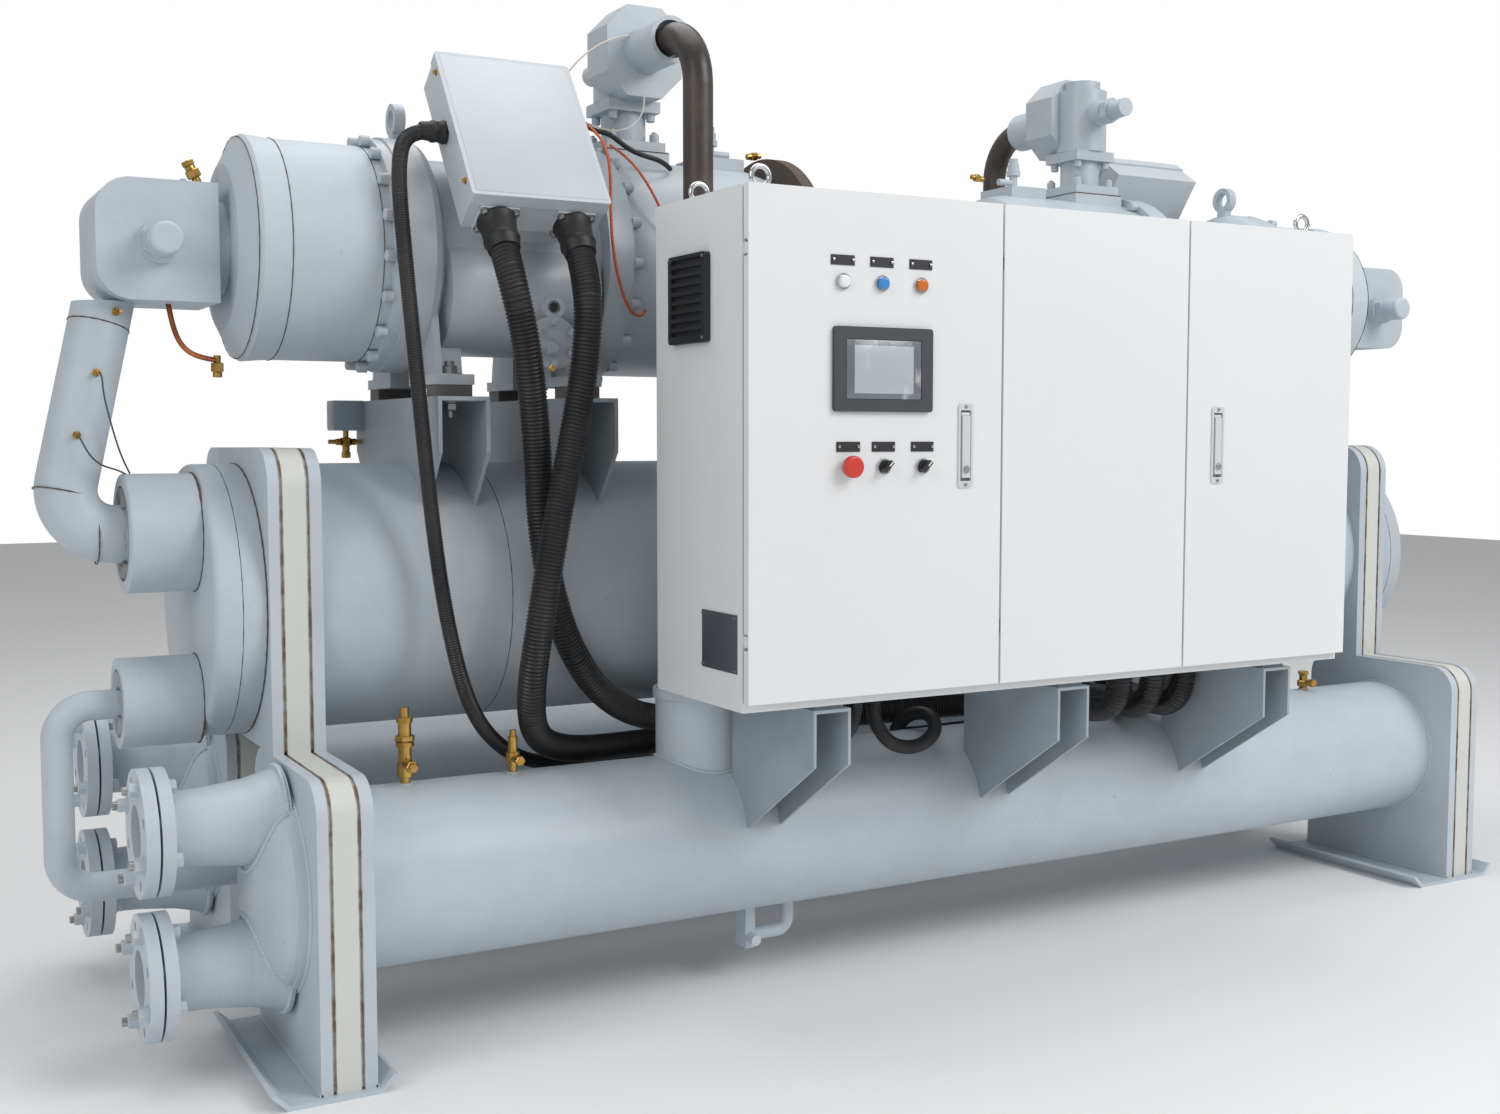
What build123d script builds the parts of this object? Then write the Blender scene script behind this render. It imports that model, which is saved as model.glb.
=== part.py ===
from build123d import *
import math
import os

os.makedirs("parts", exist_ok=True)

# Every length is in millimetres. X runs along the machine, Y to the back, Z up, floor at Z = 0

# Vessels
shell_len = 2748.0           # clear length of the vessels between the end plates
plate_t = 97.0               # one stack of end plates with its insulation
row_gap = 700.0              # distance between the two condenser axes
cond_r = 165.0
cond_z = 315.0
evap_r = 262.0
evap_z = 805.0
fit = 0.3                    # clearance of round fits
half_len = shell_len / 2
outer_x = half_len + plate_t
cond_y = row_gap / 2
cond_top = cond_z + cond_r

# End plates: two thin outer layers with a wide strip between them
low_plate_w = 448.0
low_plate_top = 540.0
low_corner_r = 62.0
up_plate_w = 550.0
up_plate_top = 1098.0
up_corner_r = 70.0
groove_w = 5.0
groove_d = 4.0
groove_places = (0.26, 0.76)

# Feet: shallow trays with flared flanges
foot_t = 8.0
foot_flange_h = 28.0
foot_flange_t = 11.0
foot_over_y = 12.0
left_foot_out = 86.0
left_foot_in = 6.0
right_foot_in = 135.0
right_foot_out = 30.0

# Dished heads, and on the left the water nozzles with their flanges
box_root_r = 182.0
box_crown = 74.0
box_rim = 14.0
box_shoulder = 0.965
nozzle_span = 253.0          # between the two nozzle axes on one water box
nozzle_root_r = 96.0
nozzle_waist_r = 76.0
nozzle_end_r = 66.0
nozzle_straight = 60.0
nozzle_flare = 130.0
nozzle_bore_r = 50.0
nozzle_bore_stop = 50.0      # the bore ends this far in front of the plate
flange_r = 111.0
flange_t = 22.0
flange_gap = 4.0
flange_bolt_circle = 180.0
flange_hole_d = 18.0
flange_holes = 8
gasket_r = 79.0
nozzle_face = 251.0          # from the plate face to the outer flange face

# Evaporator headers, with a suction stub above and a liquid stub below
header_t = 93.0
header_round = 14.0
stub_y = 65.0
stub_round = 6.0
suction_stub_r = 111.0
suction_stub_z = 940.0
suction_stub_len = 126.0
right_suction_stub_len = 136.0
suction_recess = 40.0
suction_wall = 22.0
liquid_stub_r = 84.0
liquid_stub_z = 625.0
liquid_stub_len = 141.0
right_liquid_stub_len = 80.0
liquid_recess = 20.0
liquid_wall = 20.0
stub_x = -outer_x - header_t

# Compressor, laid along X, drawn for the left side and turned half round for the right
comp_z = 1481.0
comp_overhang = 16.0         # the motor stands this far past the end plates
motor_len = 275.0
motor_r = 212.0
motor_lip = 4.0
motor_nose_r = 158.0
motor_nose = 27.0
ring_len = 100.0
ring_r = 232.0
rotor_len = 452.0            # from the motor flange to the discharge flange
rotor_r = 196.0
bulge_r = 128.0
bulge_y = 92.0
bulge_drop = 70.0
flange_2_t = 34.0
flange_2_r = 246.0
separator_len = 460.0
separator_r = 230.0
separator_nose = 60.0
end_cover_r = 262.0
end_cover_t = 30.0
motor_face = -outer_x - comp_overhang
joint_1 = motor_face + motor_len
joint_2 = joint_1 + rotor_len
comp_end = joint_2 + separator_len

# Lifting eye and port cover of the rotor casting
eye_r = 32.0
eye_hole_r = 19.0
eye_t = 22.0
eye_x = joint_1 + 73.0
port_r = 52.0
port_x = joint_2 - 137.0
port_z = comp_z - 176.0
port_proud = 10.0
glass_x = port_x + 2.0
glass_z = comp_z - 106.0
glass_r = 23.0
glass_hole_r = 13.0

# Feet of the rotor casting
casting_foot_out = 32.0
casting_foot_in = 62.0
casting_foot_half = 40.0
casting_rib_t = 14.0

# Suction valve
valve_len = 216.0
valve_neck = 23.0
valve_neck_r = 88.0
valve_half_y = 105.0
valve_h = 220.0
valve_drop = 113.0           # from the compressor axis to the underside of the valve
valve_corner_r = 62.0
stem_r = 38.0
stem_flats = 62.0
stem_cap_r = 30.0
stem_cap_round = 8.0
stem_steps = (22.0, 18.0, 52.0)
stem_drop = 9.0
valve_x1 = motor_face - valve_neck
valve_x0 = valve_x1 - valve_len
valve_z0 = comp_z - valve_drop
valve_z1 = valve_z0 + valve_h
valve_mid_x = (valve_x0 + valve_x1) / 2
valve_mid_z = (valve_z0 + valve_z1) / 2

# Suction pipes
suction_pipe_r = 54.0
left_elbow_out = 113.0
left_elbow_r = 80.0
left_top_in = 36.0
right_run_y = 300.0
right_elbow_r = 100.0

# Liquid pipes
liquid_pipe_r = 27.5
left_liquid_reach = 107.0
right_liquid_reach = 84.0
liquid_bend_r = 60.0
liquid_drop = 30.0           # below the condenser axis
liquid_turn_in = 194.0       # inside the end plates, where the pipe turns to the condenser
liquid_entry = 0.6           # where it meets the condenser, as a share of its radius

# Oil service valve on the separator
oil_boss_w = 106.0
oil_boss_half_y = 62.0
oil_boss_h = 18.0
oil_boss_from_end = 125.0
oil_steps = ((34.0, 10.0), (12.0, 17.0), (16.0, 14.0), (14.0, 11.0))
oil_port_len = 46.0
oil_port_r = 8.0

# Discharge column and pipe
column_from_end = 336.0
column_w = 136.0
column_foot = 6.0
column_foot_h = 14.0
column_step = 22.0
column_neck_r = 48.0
column_neck_top = 351.0      # heights above the compressor axis
column_body_top = 504.0
column_cap_top = 527.0
column_body_r = 62.0
column_cap_r = 46.0
column_back = 4.0
neck_flange_t = 22.0
neck_flange_in = 8.0
octagon_w = 172.0
octagon_h = 186.0
octagon_corner = 46.0
octagon_rise = 443.0
octagon_t = 102.0
octagon_y1 = -8.0
outlet_r = 47.0
outlet_len = 126.0
outlet_recess = 30.0
outlet_wall = 9.0
back_stem_steps = ((96.0, 30.0), (22.0, 54.0), (46.0, 22.0))
discharge_r = 30.0
discharge_bend_r = 112.0
discharge_stub_r = 89.0
discharge_stub_h = 138.0     # above the condenser
discharge_stub_lip = 5.0
discharge_stub_lip_h = 20.0
discharge_stub_recess = 12.0
discharge_room = 26.0
column_x = comp_end - column_from_end
column_base = comp_z + separator_r + column_foot_h
octagon_z = comp_z + octagon_rise
octagon_y0 = octagon_y1 - octagon_t
outlet_face = octagon_y0 - outlet_len
discharge_stub_top = cond_top + discharge_stub_h

# Terminal box, leaning back on the rotor casting
tbox_in = 106.0              # from the motor flange to the box
tbox_w = 281.0
tbox_len = 366.0
tbox_depth = 95.0
tbox_lid_t = 28.0
tbox_lid_over = 4.0
tbox_lid_round = 6.0
tbox_top_y = -144.0
tbox_top_rise = 385.0
tbox_tilt = 35.0
tbox_gap = 12.0
gland_places = (0.225, 0.775)
gland_depth = 61.5
gland_plate_w = 76.0
gland_plate_h = 64.0
gland_plate_t = 8.0
gland_len = 20.0
gland_wall = 5.0
side_gland_y = -198.0
side_gland_rise = 220.0
side_gland_len = 16.0
side_gland_wall = 3.0
pad_share = (0.62, 0.5, 0.36)
pad_depth = 90.0
tbox_x0 = joint_1 + tbox_in
tbox_top_z = comp_z + tbox_top_rise

# Saddles
saddle_w = 104.0
saddle_t = 8.0
saddle_top = 1196.0
saddle_half_y = 275.0
saddle_skirt = 106.0
saddle_web_half_y = 188.0
saddle_web = 216.0
saddle_1_x = joint_1 + 113.0
saddle_2_x = joint_2 - 70.0
mount_y = 190.0
mount_half_x = 36.0
mount_half_y = 30.0
rubber_h = 24.0
pad_h = 20.0

# Cabinet
cab_mid_x = -12.5
cab_w = 1500.0
cab_front = -758.0           # front of the body, behind the doors
cab_depth = 340.0
cab_z0 = 630.0
cab_h = 926.0
sheet = 3.0
rim = 28.0
door_t = 17.0
door_gap = 5.0
door_sill = 17.0             # the doors start this far above the underside of the body
door_sheet = 2.0
left_door_share = 549.5 / 1500
middle_door_share = 467.5 / 1500
hinge_in = 5.0
hinge_pin_d = 4.0
hinge_slot = 30.0
hinge_arm_h = 20.0
hinge_arm_t = 2.5
hinge_gap = 2.0
hinge_barrel_r = 4.5
hinge_barrel_h = 12.0
hinge_end = 110.0            # from door top and bottom to the hinges
cab_x0 = cab_mid_x - cab_w / 2
cab_x1 = cab_x0 + cab_w
cab_back = cab_front + cab_depth
cab_z1 = cab_z0 + cab_h
door_z0 = cab_z0 + door_sill
door_h = cab_h - door_sill
door_back = cab_front - door_gap
door_front = door_back - door_t
left_door_w = cab_w * left_door_share
middle_door_w = cab_w * middle_door_share
split_1 = cab_x0 + left_door_w + door_gap / 2
split_2 = split_1 + door_gap / 2 + middle_door_w + door_gap / 2

# Lifting rings and fan filter
ring_in = 70.0
ring_front = 60.0
ring_back = 45.0
ring_r_big = 18.0
ring_r_wire = 5.0
ring_seat_r = 13.0
ring_seat_h = 8.0
fan_w = 148.0
fan_h = 162.0
fan_t = 12.0
fan_mid_y = -566.0
fan_mid_z = 1371.0
fan_round = 8.0
fan_border = 14.0
fan_slots = 9
fan_slot_h = 9.0
fan_slot_d = 6.0

# Cabinet brackets: folded channels that sit on the front condenser
bracket_w = 80.0
bracket_t = 6.0
bracket_mid = 5.5            # from the middle of the cabinet
bracket_left = 567.5
bracket_right = 566.5
bracket_drop = 8.0           # pad between bracket and cabinet
bracket_pad_half = 30.0
bracket_nose = 105.0
bracket_tip_y = -506.0
bracket_tip = 270.0
bracket_back_y = -450.0
bracket_back = 202.0
bracket_top = cab_z0 - bracket_drop
middle_bracket_x = cab_mid_x + bracket_mid
bracket_xs = (middle_bracket_x - bracket_left, middle_bracket_x, middle_bracket_x + bracket_right)

# Controls on the left door, placed from its hinge edge
stop_in = 205.0
lamp_ins = (192.0, 275.5, 361.0)
switch_ins = (281.0, 367.0)
panel_in = 278.0
stop_z = 1065.0
stop_r = 20.0
stop_head_t = 12.0
stop_stand = 14.0
stop_stem_r = 8.0
stop_collar_r = 15.0
stop_collar_t = 9.0
stop_round = 5.0
row_3_z = 1395.0
lamp_ring_r = 14.5
lamp_ring_t = 5.0
lamp_lens_r = 11.0
lamp_lens_t = 8.0
lamp_round = 4.0
panel_w = 214.0
panel_h = 152.0
panel_z = 1240.0
panel_t = 8.0
panel_round = 6.0
screen_w = 164.0
screen_h = 108.0
screen_d = 2.0
switch_ring_r = 14.5
switch_ring_t = 6.0
knob_r = 10.5
knob_gap = 1.0
knob_bar = (8.0, 14.0, 24.0)
tag_w = 50.0
tag_h = 18.0
tag_t = 1.5
lamp_tag_rise = 38.0
switch_tag_rise = 36.0
stop_x = cab_x0 + stop_in
panel_x = cab_x0 + panel_in
lamp_xs = tuple(cab_x0 + x for x in lamp_ins)
switch_xs = tuple(cab_x0 + x for x in switch_ins)

# Door handles: recessed plate with a swinging lever
handle_w = 33.0
handle_h = 157.0
handle_round = 6.0
handle_lip = 3.0
handle_z = 1102.5
left_handle_in = 84.5        # from the free edge of the door
right_handle_in = 82.0
tray_half_w = 14.0
tray_half_h = 68.0
tray_d = 12.0
tray_t = 2.0
lever_half_w = 9.0
lever_low = 60.0
lever_pin_up = 58.0
lever_pin_in = 3.0
lever_pin_r = 2.0
lever_eye_r = 5.0
lever_out = 5.0
lever_in = 2.0
left_handle_x = split_1 - door_gap / 2 - left_handle_in
right_handle_x = split_2 + door_gap / 2 + right_handle_in

# Small valves on the front condenser: distance inside the end plate, then (height, radius)
valve_seat = 6.0
relief_in = 125.5
relief_steps = ((20, 9), (26, 15), (30, 12), (8, 17), (36, 12), (10, 15), (18, 8))
relief_port = (44.0, 34.0, 9.0)
service_in = 336.5
service_steps = ((22, 8), (24, 13), (30, 9), (12, 6))
service_port = (34.0, 30.0, 8.0)
drain_x = -430.0
drain_run = 100.0
drain_low = 62.0
drain_r = 14.0
drain_bend_r = 26.0
drain_strap_t = 22.0
drain_strap_half = 22.0
drain_cap = (48.0, 11.0)

# Conduits, and the glands under the cabinet: name, x, y, radius
power_r = 28.0
control_r = 15.0
cabinet_gland_h = 14.0
cabinet_gland_wall = 5.0
left_power_1_at = (-450.0, -560.0)
left_power_2_at = (292.0, -560.0)
left_control_at = (-385.0, -545.0)
right_power_1_at = (480.0, -560.0)
right_power_2_at = (388.0, -560.0)
right_control_at = (-322.0, -510.0)
arc_share = 0.45             # each arc takes this share of the shorter of its two runs
gland_run = 110.0            # straight out of the terminal box
side_run = 56.0
seat_run = 58.0              # straight up into a cabinet gland
seat_back = 46.0


def box(x0, x1, y0, y1, z0, z1):
    centre = Pos((x0 + x1) / 2, (y0 + y1) / 2, (z0 + z1) / 2)
    return centre * Box(abs(x1 - x0), abs(y1 - y0), abs(z1 - z0))


def rod_x(x0, x1, y, z, r):
    return Pos((x0 + x1) / 2, y, z) * Rot(0, 90, 0) * Cylinder(r, abs(x1 - x0))


def rod_y(y0, y1, x, z, r):
    return Pos(x, (y0 + y1) / 2, z) * Rot(90, 0, 0) * Cylinder(r, abs(y1 - y0))


def rod_z(z0, z1, x, y, r):
    return Pos(x, y, (z0 + z1) / 2) * Cylinder(r, abs(z1 - z0))


def hex_y(y0, y1, x, z, flats):
    face = RegularPolygon(flats / math.sqrt(3), 6)
    return extrude(Plane(origin=(x, y0, z), z_dir=(0, 1, 0)) * face, y1 - y0)


def prism_x(points, x0, x1):
    face = make_face(Polyline(*[(x0, y, z) for y, z in points], close=True))
    return extrude(face, amount=x1 - x0, dir=(1, 0, 0))


def prism_y(points, y0, y1):
    face = make_face(Polyline(*[(x, y0, z) for x, z in points], close=True))
    return extrude(face, amount=y1 - y0, dir=(0, 1, 0))


def turned_x(profile, y, z):
    face = make_face(Polyline(*[(x, r) for x, r in profile], close=True))
    return Pos(0, y, z) * revolve(face, Axis.X)


def turned_z(profile, x, y):
    face = make_face(Polyline(*[(r, 0, z) for r, z in profile], close=True))
    return Pos(x, y, 0) * revolve(face, Axis.Z)


def round_ends(shape, axis, which, r):
    # rounds the rim at one end of a turned shape
    return fillet(shape.edges().filter_by(GeomType.CIRCLE).group_by(axis)[which], r)


def bend(points, radii, r):
    path = FilletPolyline(*points, radius=radii)
    start = Plane(origin=path @ 0, z_dir=path % 0)
    return sweep(start * Circle(r), path)


def half_turn(shape):
    return Rot(0, 0, 180) * shape


def shell_of(y):
    return rod_x(-half_len, half_len, y, cond_z, cond_r)


out = {}


# Vessels: plain tubes between the end plates
out["condenser_shells"] = [shell_of(-cond_y), shell_of(cond_y)]
evaporator = rod_x(-half_len, half_len, 0, evap_z, evap_r)
out["evaporator_shell"] = evaporator


# End plates: an inner plate, a light middle strip and an outer plate, grooves between
def end_plate(side, y, w, z0, z1, corner_r):
    x0, x1 = sorted((side * half_len, side * outer_x))
    block = box(x0, x1, y - w / 2, y + w / 2, z0, z1)
    block = fillet(block.edges().filter_by(Axis.X).group_by(Axis.Z)[-1], corner_r)
    inset = offset(block, -groove_d)
    for share in groove_places:
        xg = side * (half_len + share * plate_t)
        slab = box(xg - groove_w / 2, xg + groove_w / 2, y - w, y + w, z0 - plate_t, z1 + plate_t)
        block -= slab - inset
    return block


out["condenser_end_plates"] = [
    end_plate(side, y, low_plate_w, foot_t, low_plate_top, low_corner_r)
    for side in (-1, 1) for y in (-cond_y, cond_y)]
out["evaporator_end_plates"] = [
    end_plate(side, 0, up_plate_w, low_plate_top, up_plate_top, up_corner_r) for side in (-1, 1)]


# Feet: one profile with both flanges flared, as long as the plate is wide
def foot(xa, xb, y):
    h, t, k = foot_flange_h, foot_t, foot_flange_t - foot_t
    outer = [(xa, h), (xa + h, 0), (xb - h, 0), (xb, h)]
    inner = [(xb - t, h + k), (xb - h - k, t), (xa + h + k, t), (xa + t, h + k)]
    half = low_plate_w / 2 + foot_over_y
    return prism_y(outer + inner, y - half, y + half)


foot_spans = ((-outer_x - left_foot_out, -half_len + left_foot_in + foot_flange_h),
              (half_len - right_foot_in, outer_x + right_foot_out + foot_flange_h))
out["feet"] = [foot(xa, xb, y) for xa, xb in foot_spans for y in (-cond_y, cond_y)]


# Dished heads: a short rim and an elliptical crown, turned as one profile
def dish(side, y):
    steps = 12
    profile = [(0, 0), (0, box_root_r), (box_rim, box_root_r)]
    for k in range(steps + 1):
        a = math.radians(90 * k / steps)
        profile.append((box_rim + (box_crown - box_rim) * math.sin(a), box_root_r * box_shoulder * math.cos(a)))
    return turned_x([(side * (outer_x + px), pr) for px, pr in profile], y, cond_z)


def bolt_ring():
    for k in range(flange_holes):
        a = 2 * math.pi * (k + 0.5) / flange_holes
        yield flange_bolt_circle / 2 * math.cos(a), flange_bolt_circle / 2 * math.sin(a)


def nozzle_zs():
    return [cond_z + k * nozzle_span / 2 for k in (-1, 1)]


def flange_holes_at(x0, x1, y, z):
    # the round-the-clock bolt holes of one flange, with a little run-out past both faces
    return [rod_x(x0 - 1, x1 + 1, y + dy, z + dz, flange_hole_d / 2) for dy, dz in bolt_ring()]


face_x = -outer_x - nozzle_face
inner_face_x = face_x + flange_t + flange_gap
neck_x = inner_face_x + flange_t


def water_box(y):
    head = dish(-1, y)
    root = -outer_x - box_rim / 2
    for z in nozzle_zs():
        flare = [(neck_x, 0), (neck_x, nozzle_end_r), (neck_x + nozzle_straight, nozzle_end_r + 2)]
        flare += [(neck_x + nozzle_flare, nozzle_waist_r), (root - 2 * box_rim, nozzle_root_r - 10)]
        flare += [(root, nozzle_root_r), (root, 0)]
        head += turned_x(flare, y, z)
        head += rod_x(inner_face_x, neck_x, y, z, flange_r)
    for z in nozzle_zs():
        head -= rod_x(inner_face_x - 1, -outer_x - nozzle_bore_stop, y, z, nozzle_bore_r)
        for hole in flange_holes_at(inner_face_x, neck_x, y, z):
            head -= hole
    return head


def companion_flanges(y):
    # outer flange with its gasket, one above the other
    made = []
    for z in nozzle_zs():
        ring = rod_x(face_x, face_x + flange_t, y, z, flange_r)
        for hole in flange_holes_at(face_x, face_x + flange_t, y, z):
            ring -= hole
        ring += rod_x(face_x + flange_t, inner_face_x, y, z, gasket_r)
        made.append(ring - rod_x(face_x - 1, inner_face_x + 1, y, z, nozzle_bore_r))
    return made


out["water_boxes"] = [water_box(-cond_y), water_box(cond_y), dish(1, -cond_y), dish(1, cond_y)]
out["water_flanges"] = companion_flanges(-cond_y) + companion_flanges(cond_y)


# Evaporator headers: insulated discs, drawn for the left end and turned for the right
def header(suction_len, liquid_len, open_end):
    disc = rod_x(stub_x, -outer_x, 0, evap_z, evap_r)
    disc = round_ends(disc, Axis.X, 0, header_round)
    upper = rod_x(stub_x - suction_len, stub_x, -stub_y, suction_stub_z, suction_stub_r)
    upper = round_ends(upper, Axis.X, 0, stub_round)
    if open_end:
        upper -= rod_x(stub_x - suction_len - 1, stub_x - suction_len + suction_recess, -stub_y, suction_stub_z,
                       suction_stub_r - suction_wall)
    lower = rod_x(stub_x - liquid_len, stub_x, -stub_y, liquid_stub_z, liquid_stub_r)
    lower -= rod_x(stub_x - liquid_len - 1, stub_x - liquid_len + liquid_recess, -stub_y, liquid_stub_z,
                   liquid_stub_r - liquid_wall)
    return disc + upper + lower


left_header = header(suction_stub_len, liquid_stub_len, True)
right_header = half_turn(header(right_suction_stub_len, right_liquid_stub_len, False))
out["evaporator_headers"] = [left_header, right_header]


# Suction pipes with their insulation. The left one rises straight to the valve; the right one
# comes out behind its valve and goes down into the side of the stub
left_end_x = stub_x - suction_stub_len
left_suction = bend(
    [(left_end_x + suction_recess, -stub_y, suction_stub_z), (left_end_x - left_elbow_out, -stub_y, suction_stub_z),
     (valve_x0 + left_top_in, 0, valve_z0 + suction_pipe_r)], [left_elbow_r], suction_pipe_r)
left_suction -= box(valve_x0 - valve_len, valve_x1, -valve_half_y * 2, valve_half_y * 2, valve_z0, valve_z1)
left_suction -= left_header
entry_x = stub_x - right_suction_stub_len / 2
right_suction = half_turn(bend(
    [(valve_mid_x, -valve_half_y, valve_mid_z), (valve_mid_x, -right_run_y, valve_mid_z),
     (entry_x, -right_run_y, suction_stub_z), (entry_x, -stub_y - suction_stub_r / 2, suction_stub_z)],
    [right_elbow_r, right_elbow_r], suction_pipe_r))
right_suction -= right_header
out["suction_pipes"] = [left_suction, right_suction]


# Liquid pipes from the lower stubs back to the condensers, between the lower plates
def liquid_line(stub_len, reach):
    start = stub_x - stub_len
    low_z = cond_z - liquid_drop
    turn_x = -half_len + liquid_turn_in
    pts = [(start + liquid_recess, -stub_y, liquid_stub_z), (start - reach, -stub_y, liquid_stub_z),
           (start - reach, -stub_y, low_z), (turn_x, -stub_y, low_z),
           (turn_x, -cond_y + cond_r * liquid_entry, low_z)]
    pipe = bend(pts, [liquid_bend_r, liquid_bend_r, liquid_bend_r], liquid_pipe_r)
    return pipe - shell_of(-cond_y)


out["liquid_lines"] = [liquid_line(liquid_stub_len, left_liquid_reach),
                       half_turn(liquid_line(right_liquid_stub_len, right_liquid_reach))]


# Terminal box plane: X along the lid, Y up the lid, Z outwards
def box_frame():
    a = math.radians(tbox_tilt)
    up = Vector(0, math.sin(a), math.cos(a))
    outward = Vector(0, -math.cos(a), math.sin(a))
    corner = Vector(tbox_x0, tbox_top_y, tbox_top_z) - up * tbox_len
    return Plane(origin=corner, x_dir=(1, 0, 0), z_dir=outward), up, outward


def terminal_pad():
    plane, up, outward = box_frame()
    wide, tall, high = pad_share
    middle = Pos(tbox_w / 2, tbox_len * high, -tbox_depth - pad_depth / 2)
    return plane * middle * Box(tbox_w * wide, tbox_len * tall, pad_depth)


def terminal_box():
    plane, up, outward = box_frame()
    inner = 2 * tbox_lid_over
    middle = Pos(tbox_w / 2, tbox_len / 2, -(tbox_depth + tbox_gap) / 2)
    body = middle * Box(tbox_w - inner, tbox_len - inner, tbox_depth - tbox_gap)
    lid = Pos(tbox_w / 2, tbox_len / 2, -tbox_lid_t / 2) * Box(tbox_w, tbox_len, tbox_lid_t)
    shape = body + fillet(lid.edges().filter_by(Axis.Z), tbox_lid_round)
    for share in gland_places:
        seat = Pos(tbox_w * share, 0, -gland_depth)
        shape += seat * Box(gland_plate_w, gland_plate_t, gland_plate_h)
        shape += seat * Pos(0, -(gland_plate_t + gland_len) / 2, 0) * Rot(90, 0, 0) * Cylinder(
            power_r + gland_wall, gland_len)
    side_gland = rod_x(tbox_x0 - side_gland_len, tbox_x0 + 2 * tbox_lid_over, side_gland_y,
                       comp_z + side_gland_rise, control_r + side_gland_wall)
    return plane * shape + side_gland


# Compressor castings
def motor_housing():
    nose_x = motor_face + motor_nose
    profile = [(motor_face, 0), (motor_face, motor_nose_r), (nose_x, motor_r - 2), (nose_x + 8, motor_r + motor_lip)]
    profile += [(nose_x + 60, motor_r), (joint_1, motor_r), (joint_1, 0)]
    return turned_x(profile, 0, comp_z) + rod_x(valve_x1, motor_face, 0, valve_mid_z, valve_neck_r)


def casting_feet():
    z0 = saddle_top + rubber_h
    z1 = z0 + pad_h
    for fx in (saddle_1_x, saddle_2_x):
        for s in (-1, 1):
            tip, inner = mount_y + casting_foot_out, casting_foot_in
            block = [(s * inner, z0), (s * tip, z0), (s * tip, z1), (s * (mount_y - 38), z1)]
            block += [(s * (mount_y - 52), comp_z - 148), (s * inner, comp_z - 133)]
            rib = [(s * (mount_y + 20), z1 - 2), (s * rotor_r / 2, z1 - 2), (s * rotor_r / 2, comp_z - 52)]
            rib += [(s * (rotor_r - 16), comp_z - 84)]
            yield prism_x(block, fx - casting_foot_half, fx + casting_foot_half)
            yield prism_x(rib, fx - 2.4 * casting_rib_t, fx - 1.4 * casting_rib_t)


def rotor_housing():
    end = joint_1 + ring_len
    profile = [(joint_1, 0), (joint_1, ring_r - 4), (joint_1 + 22, ring_r - 4), (joint_1 + 22, ring_r)]
    profile += [(end - 22, ring_r), (end - 8, ring_r - 8), (end, rotor_r + 14), (end + 8, rotor_r)]
    profile += [(joint_2 - 40, rotor_r), (joint_2 - 20, rotor_r + 8), (joint_2 - 20, flange_2_r)]
    profile += [(joint_2, flange_2_r), (joint_2, 0)]
    body = turned_x(profile, 0, comp_z)
    for piece in casting_feet():
        body += piece
    # twin rotor bulges on the front and back of the casting
    for s in (-1, 1):
        body += rod_x(end + 13, joint_2 - 27, s * bulge_y, comp_z - bulge_drop, bulge_r)
    body += terminal_pad()
    # round port cover and a sight glass on the front bulge
    front = -bulge_y - bulge_r
    body += rod_y(front - port_proud, front + bulge_r / 2, port_x, port_z, port_r)
    body += rod_y(front - port_proud, front + bulge_r / 2, glass_x, glass_z, glass_r)
    body -= rod_y(front - port_proud - 1, front - port_proud + 8, glass_x, glass_z, glass_hole_r)
    # lifting eye
    eye_z = comp_z + ring_r + eye_r + 8
    x0, x1 = eye_x - eye_t / 2, eye_x + eye_t / 2
    eye = rod_x(x0, x1, 0, eye_z, eye_r) - rod_x(x0 - 1, x1 + 1, 0, eye_z, eye_hole_r)
    eye += box(x0, x1, -eye_r * 0.45, eye_r * 0.45, comp_z + ring_r - 10, eye_z - eye_hole_r - 4)
    return body + eye


def oil_valve(x, z0):
    # capped service valve, one turned step on the other, with its port towards the end
    made = box(x - oil_boss_w / 2, x + oil_boss_w / 2, -oil_boss_half_y, oil_boss_half_y,
               comp_z + separator_r * 0.8, z0)
    z = z0
    for h, r in oil_steps:
        made += rod_z(z, z + h, x, 0, r)
        z += h
    return made + rod_x(x, x + oil_port_len, 0, z0 + oil_steps[0][0] / 2, oil_port_r)


def separator():
    shoulder = comp_end - separator_nose - 10
    profile = [(joint_2, 0), (joint_2, flange_2_r), (joint_2 + flange_2_t, flange_2_r)]
    profile += [(joint_2 + flange_2_t, separator_r), (shoulder, separator_r)]
    profile += [(comp_end - separator_nose / 2, separator_r - 10), (comp_end, separator_r - separator_nose)]
    profile += [(comp_end, 0)]
    body = turned_x(profile, 0, comp_z)
    body += oil_valve(comp_end - oil_boss_from_end, comp_z + separator_r + oil_boss_h)
    # seat of the discharge column
    half = column_w / 2 + column_foot
    return body + box(column_x - half, column_x + half, -half, half, comp_z + separator_r * 0.74, column_base)


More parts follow.
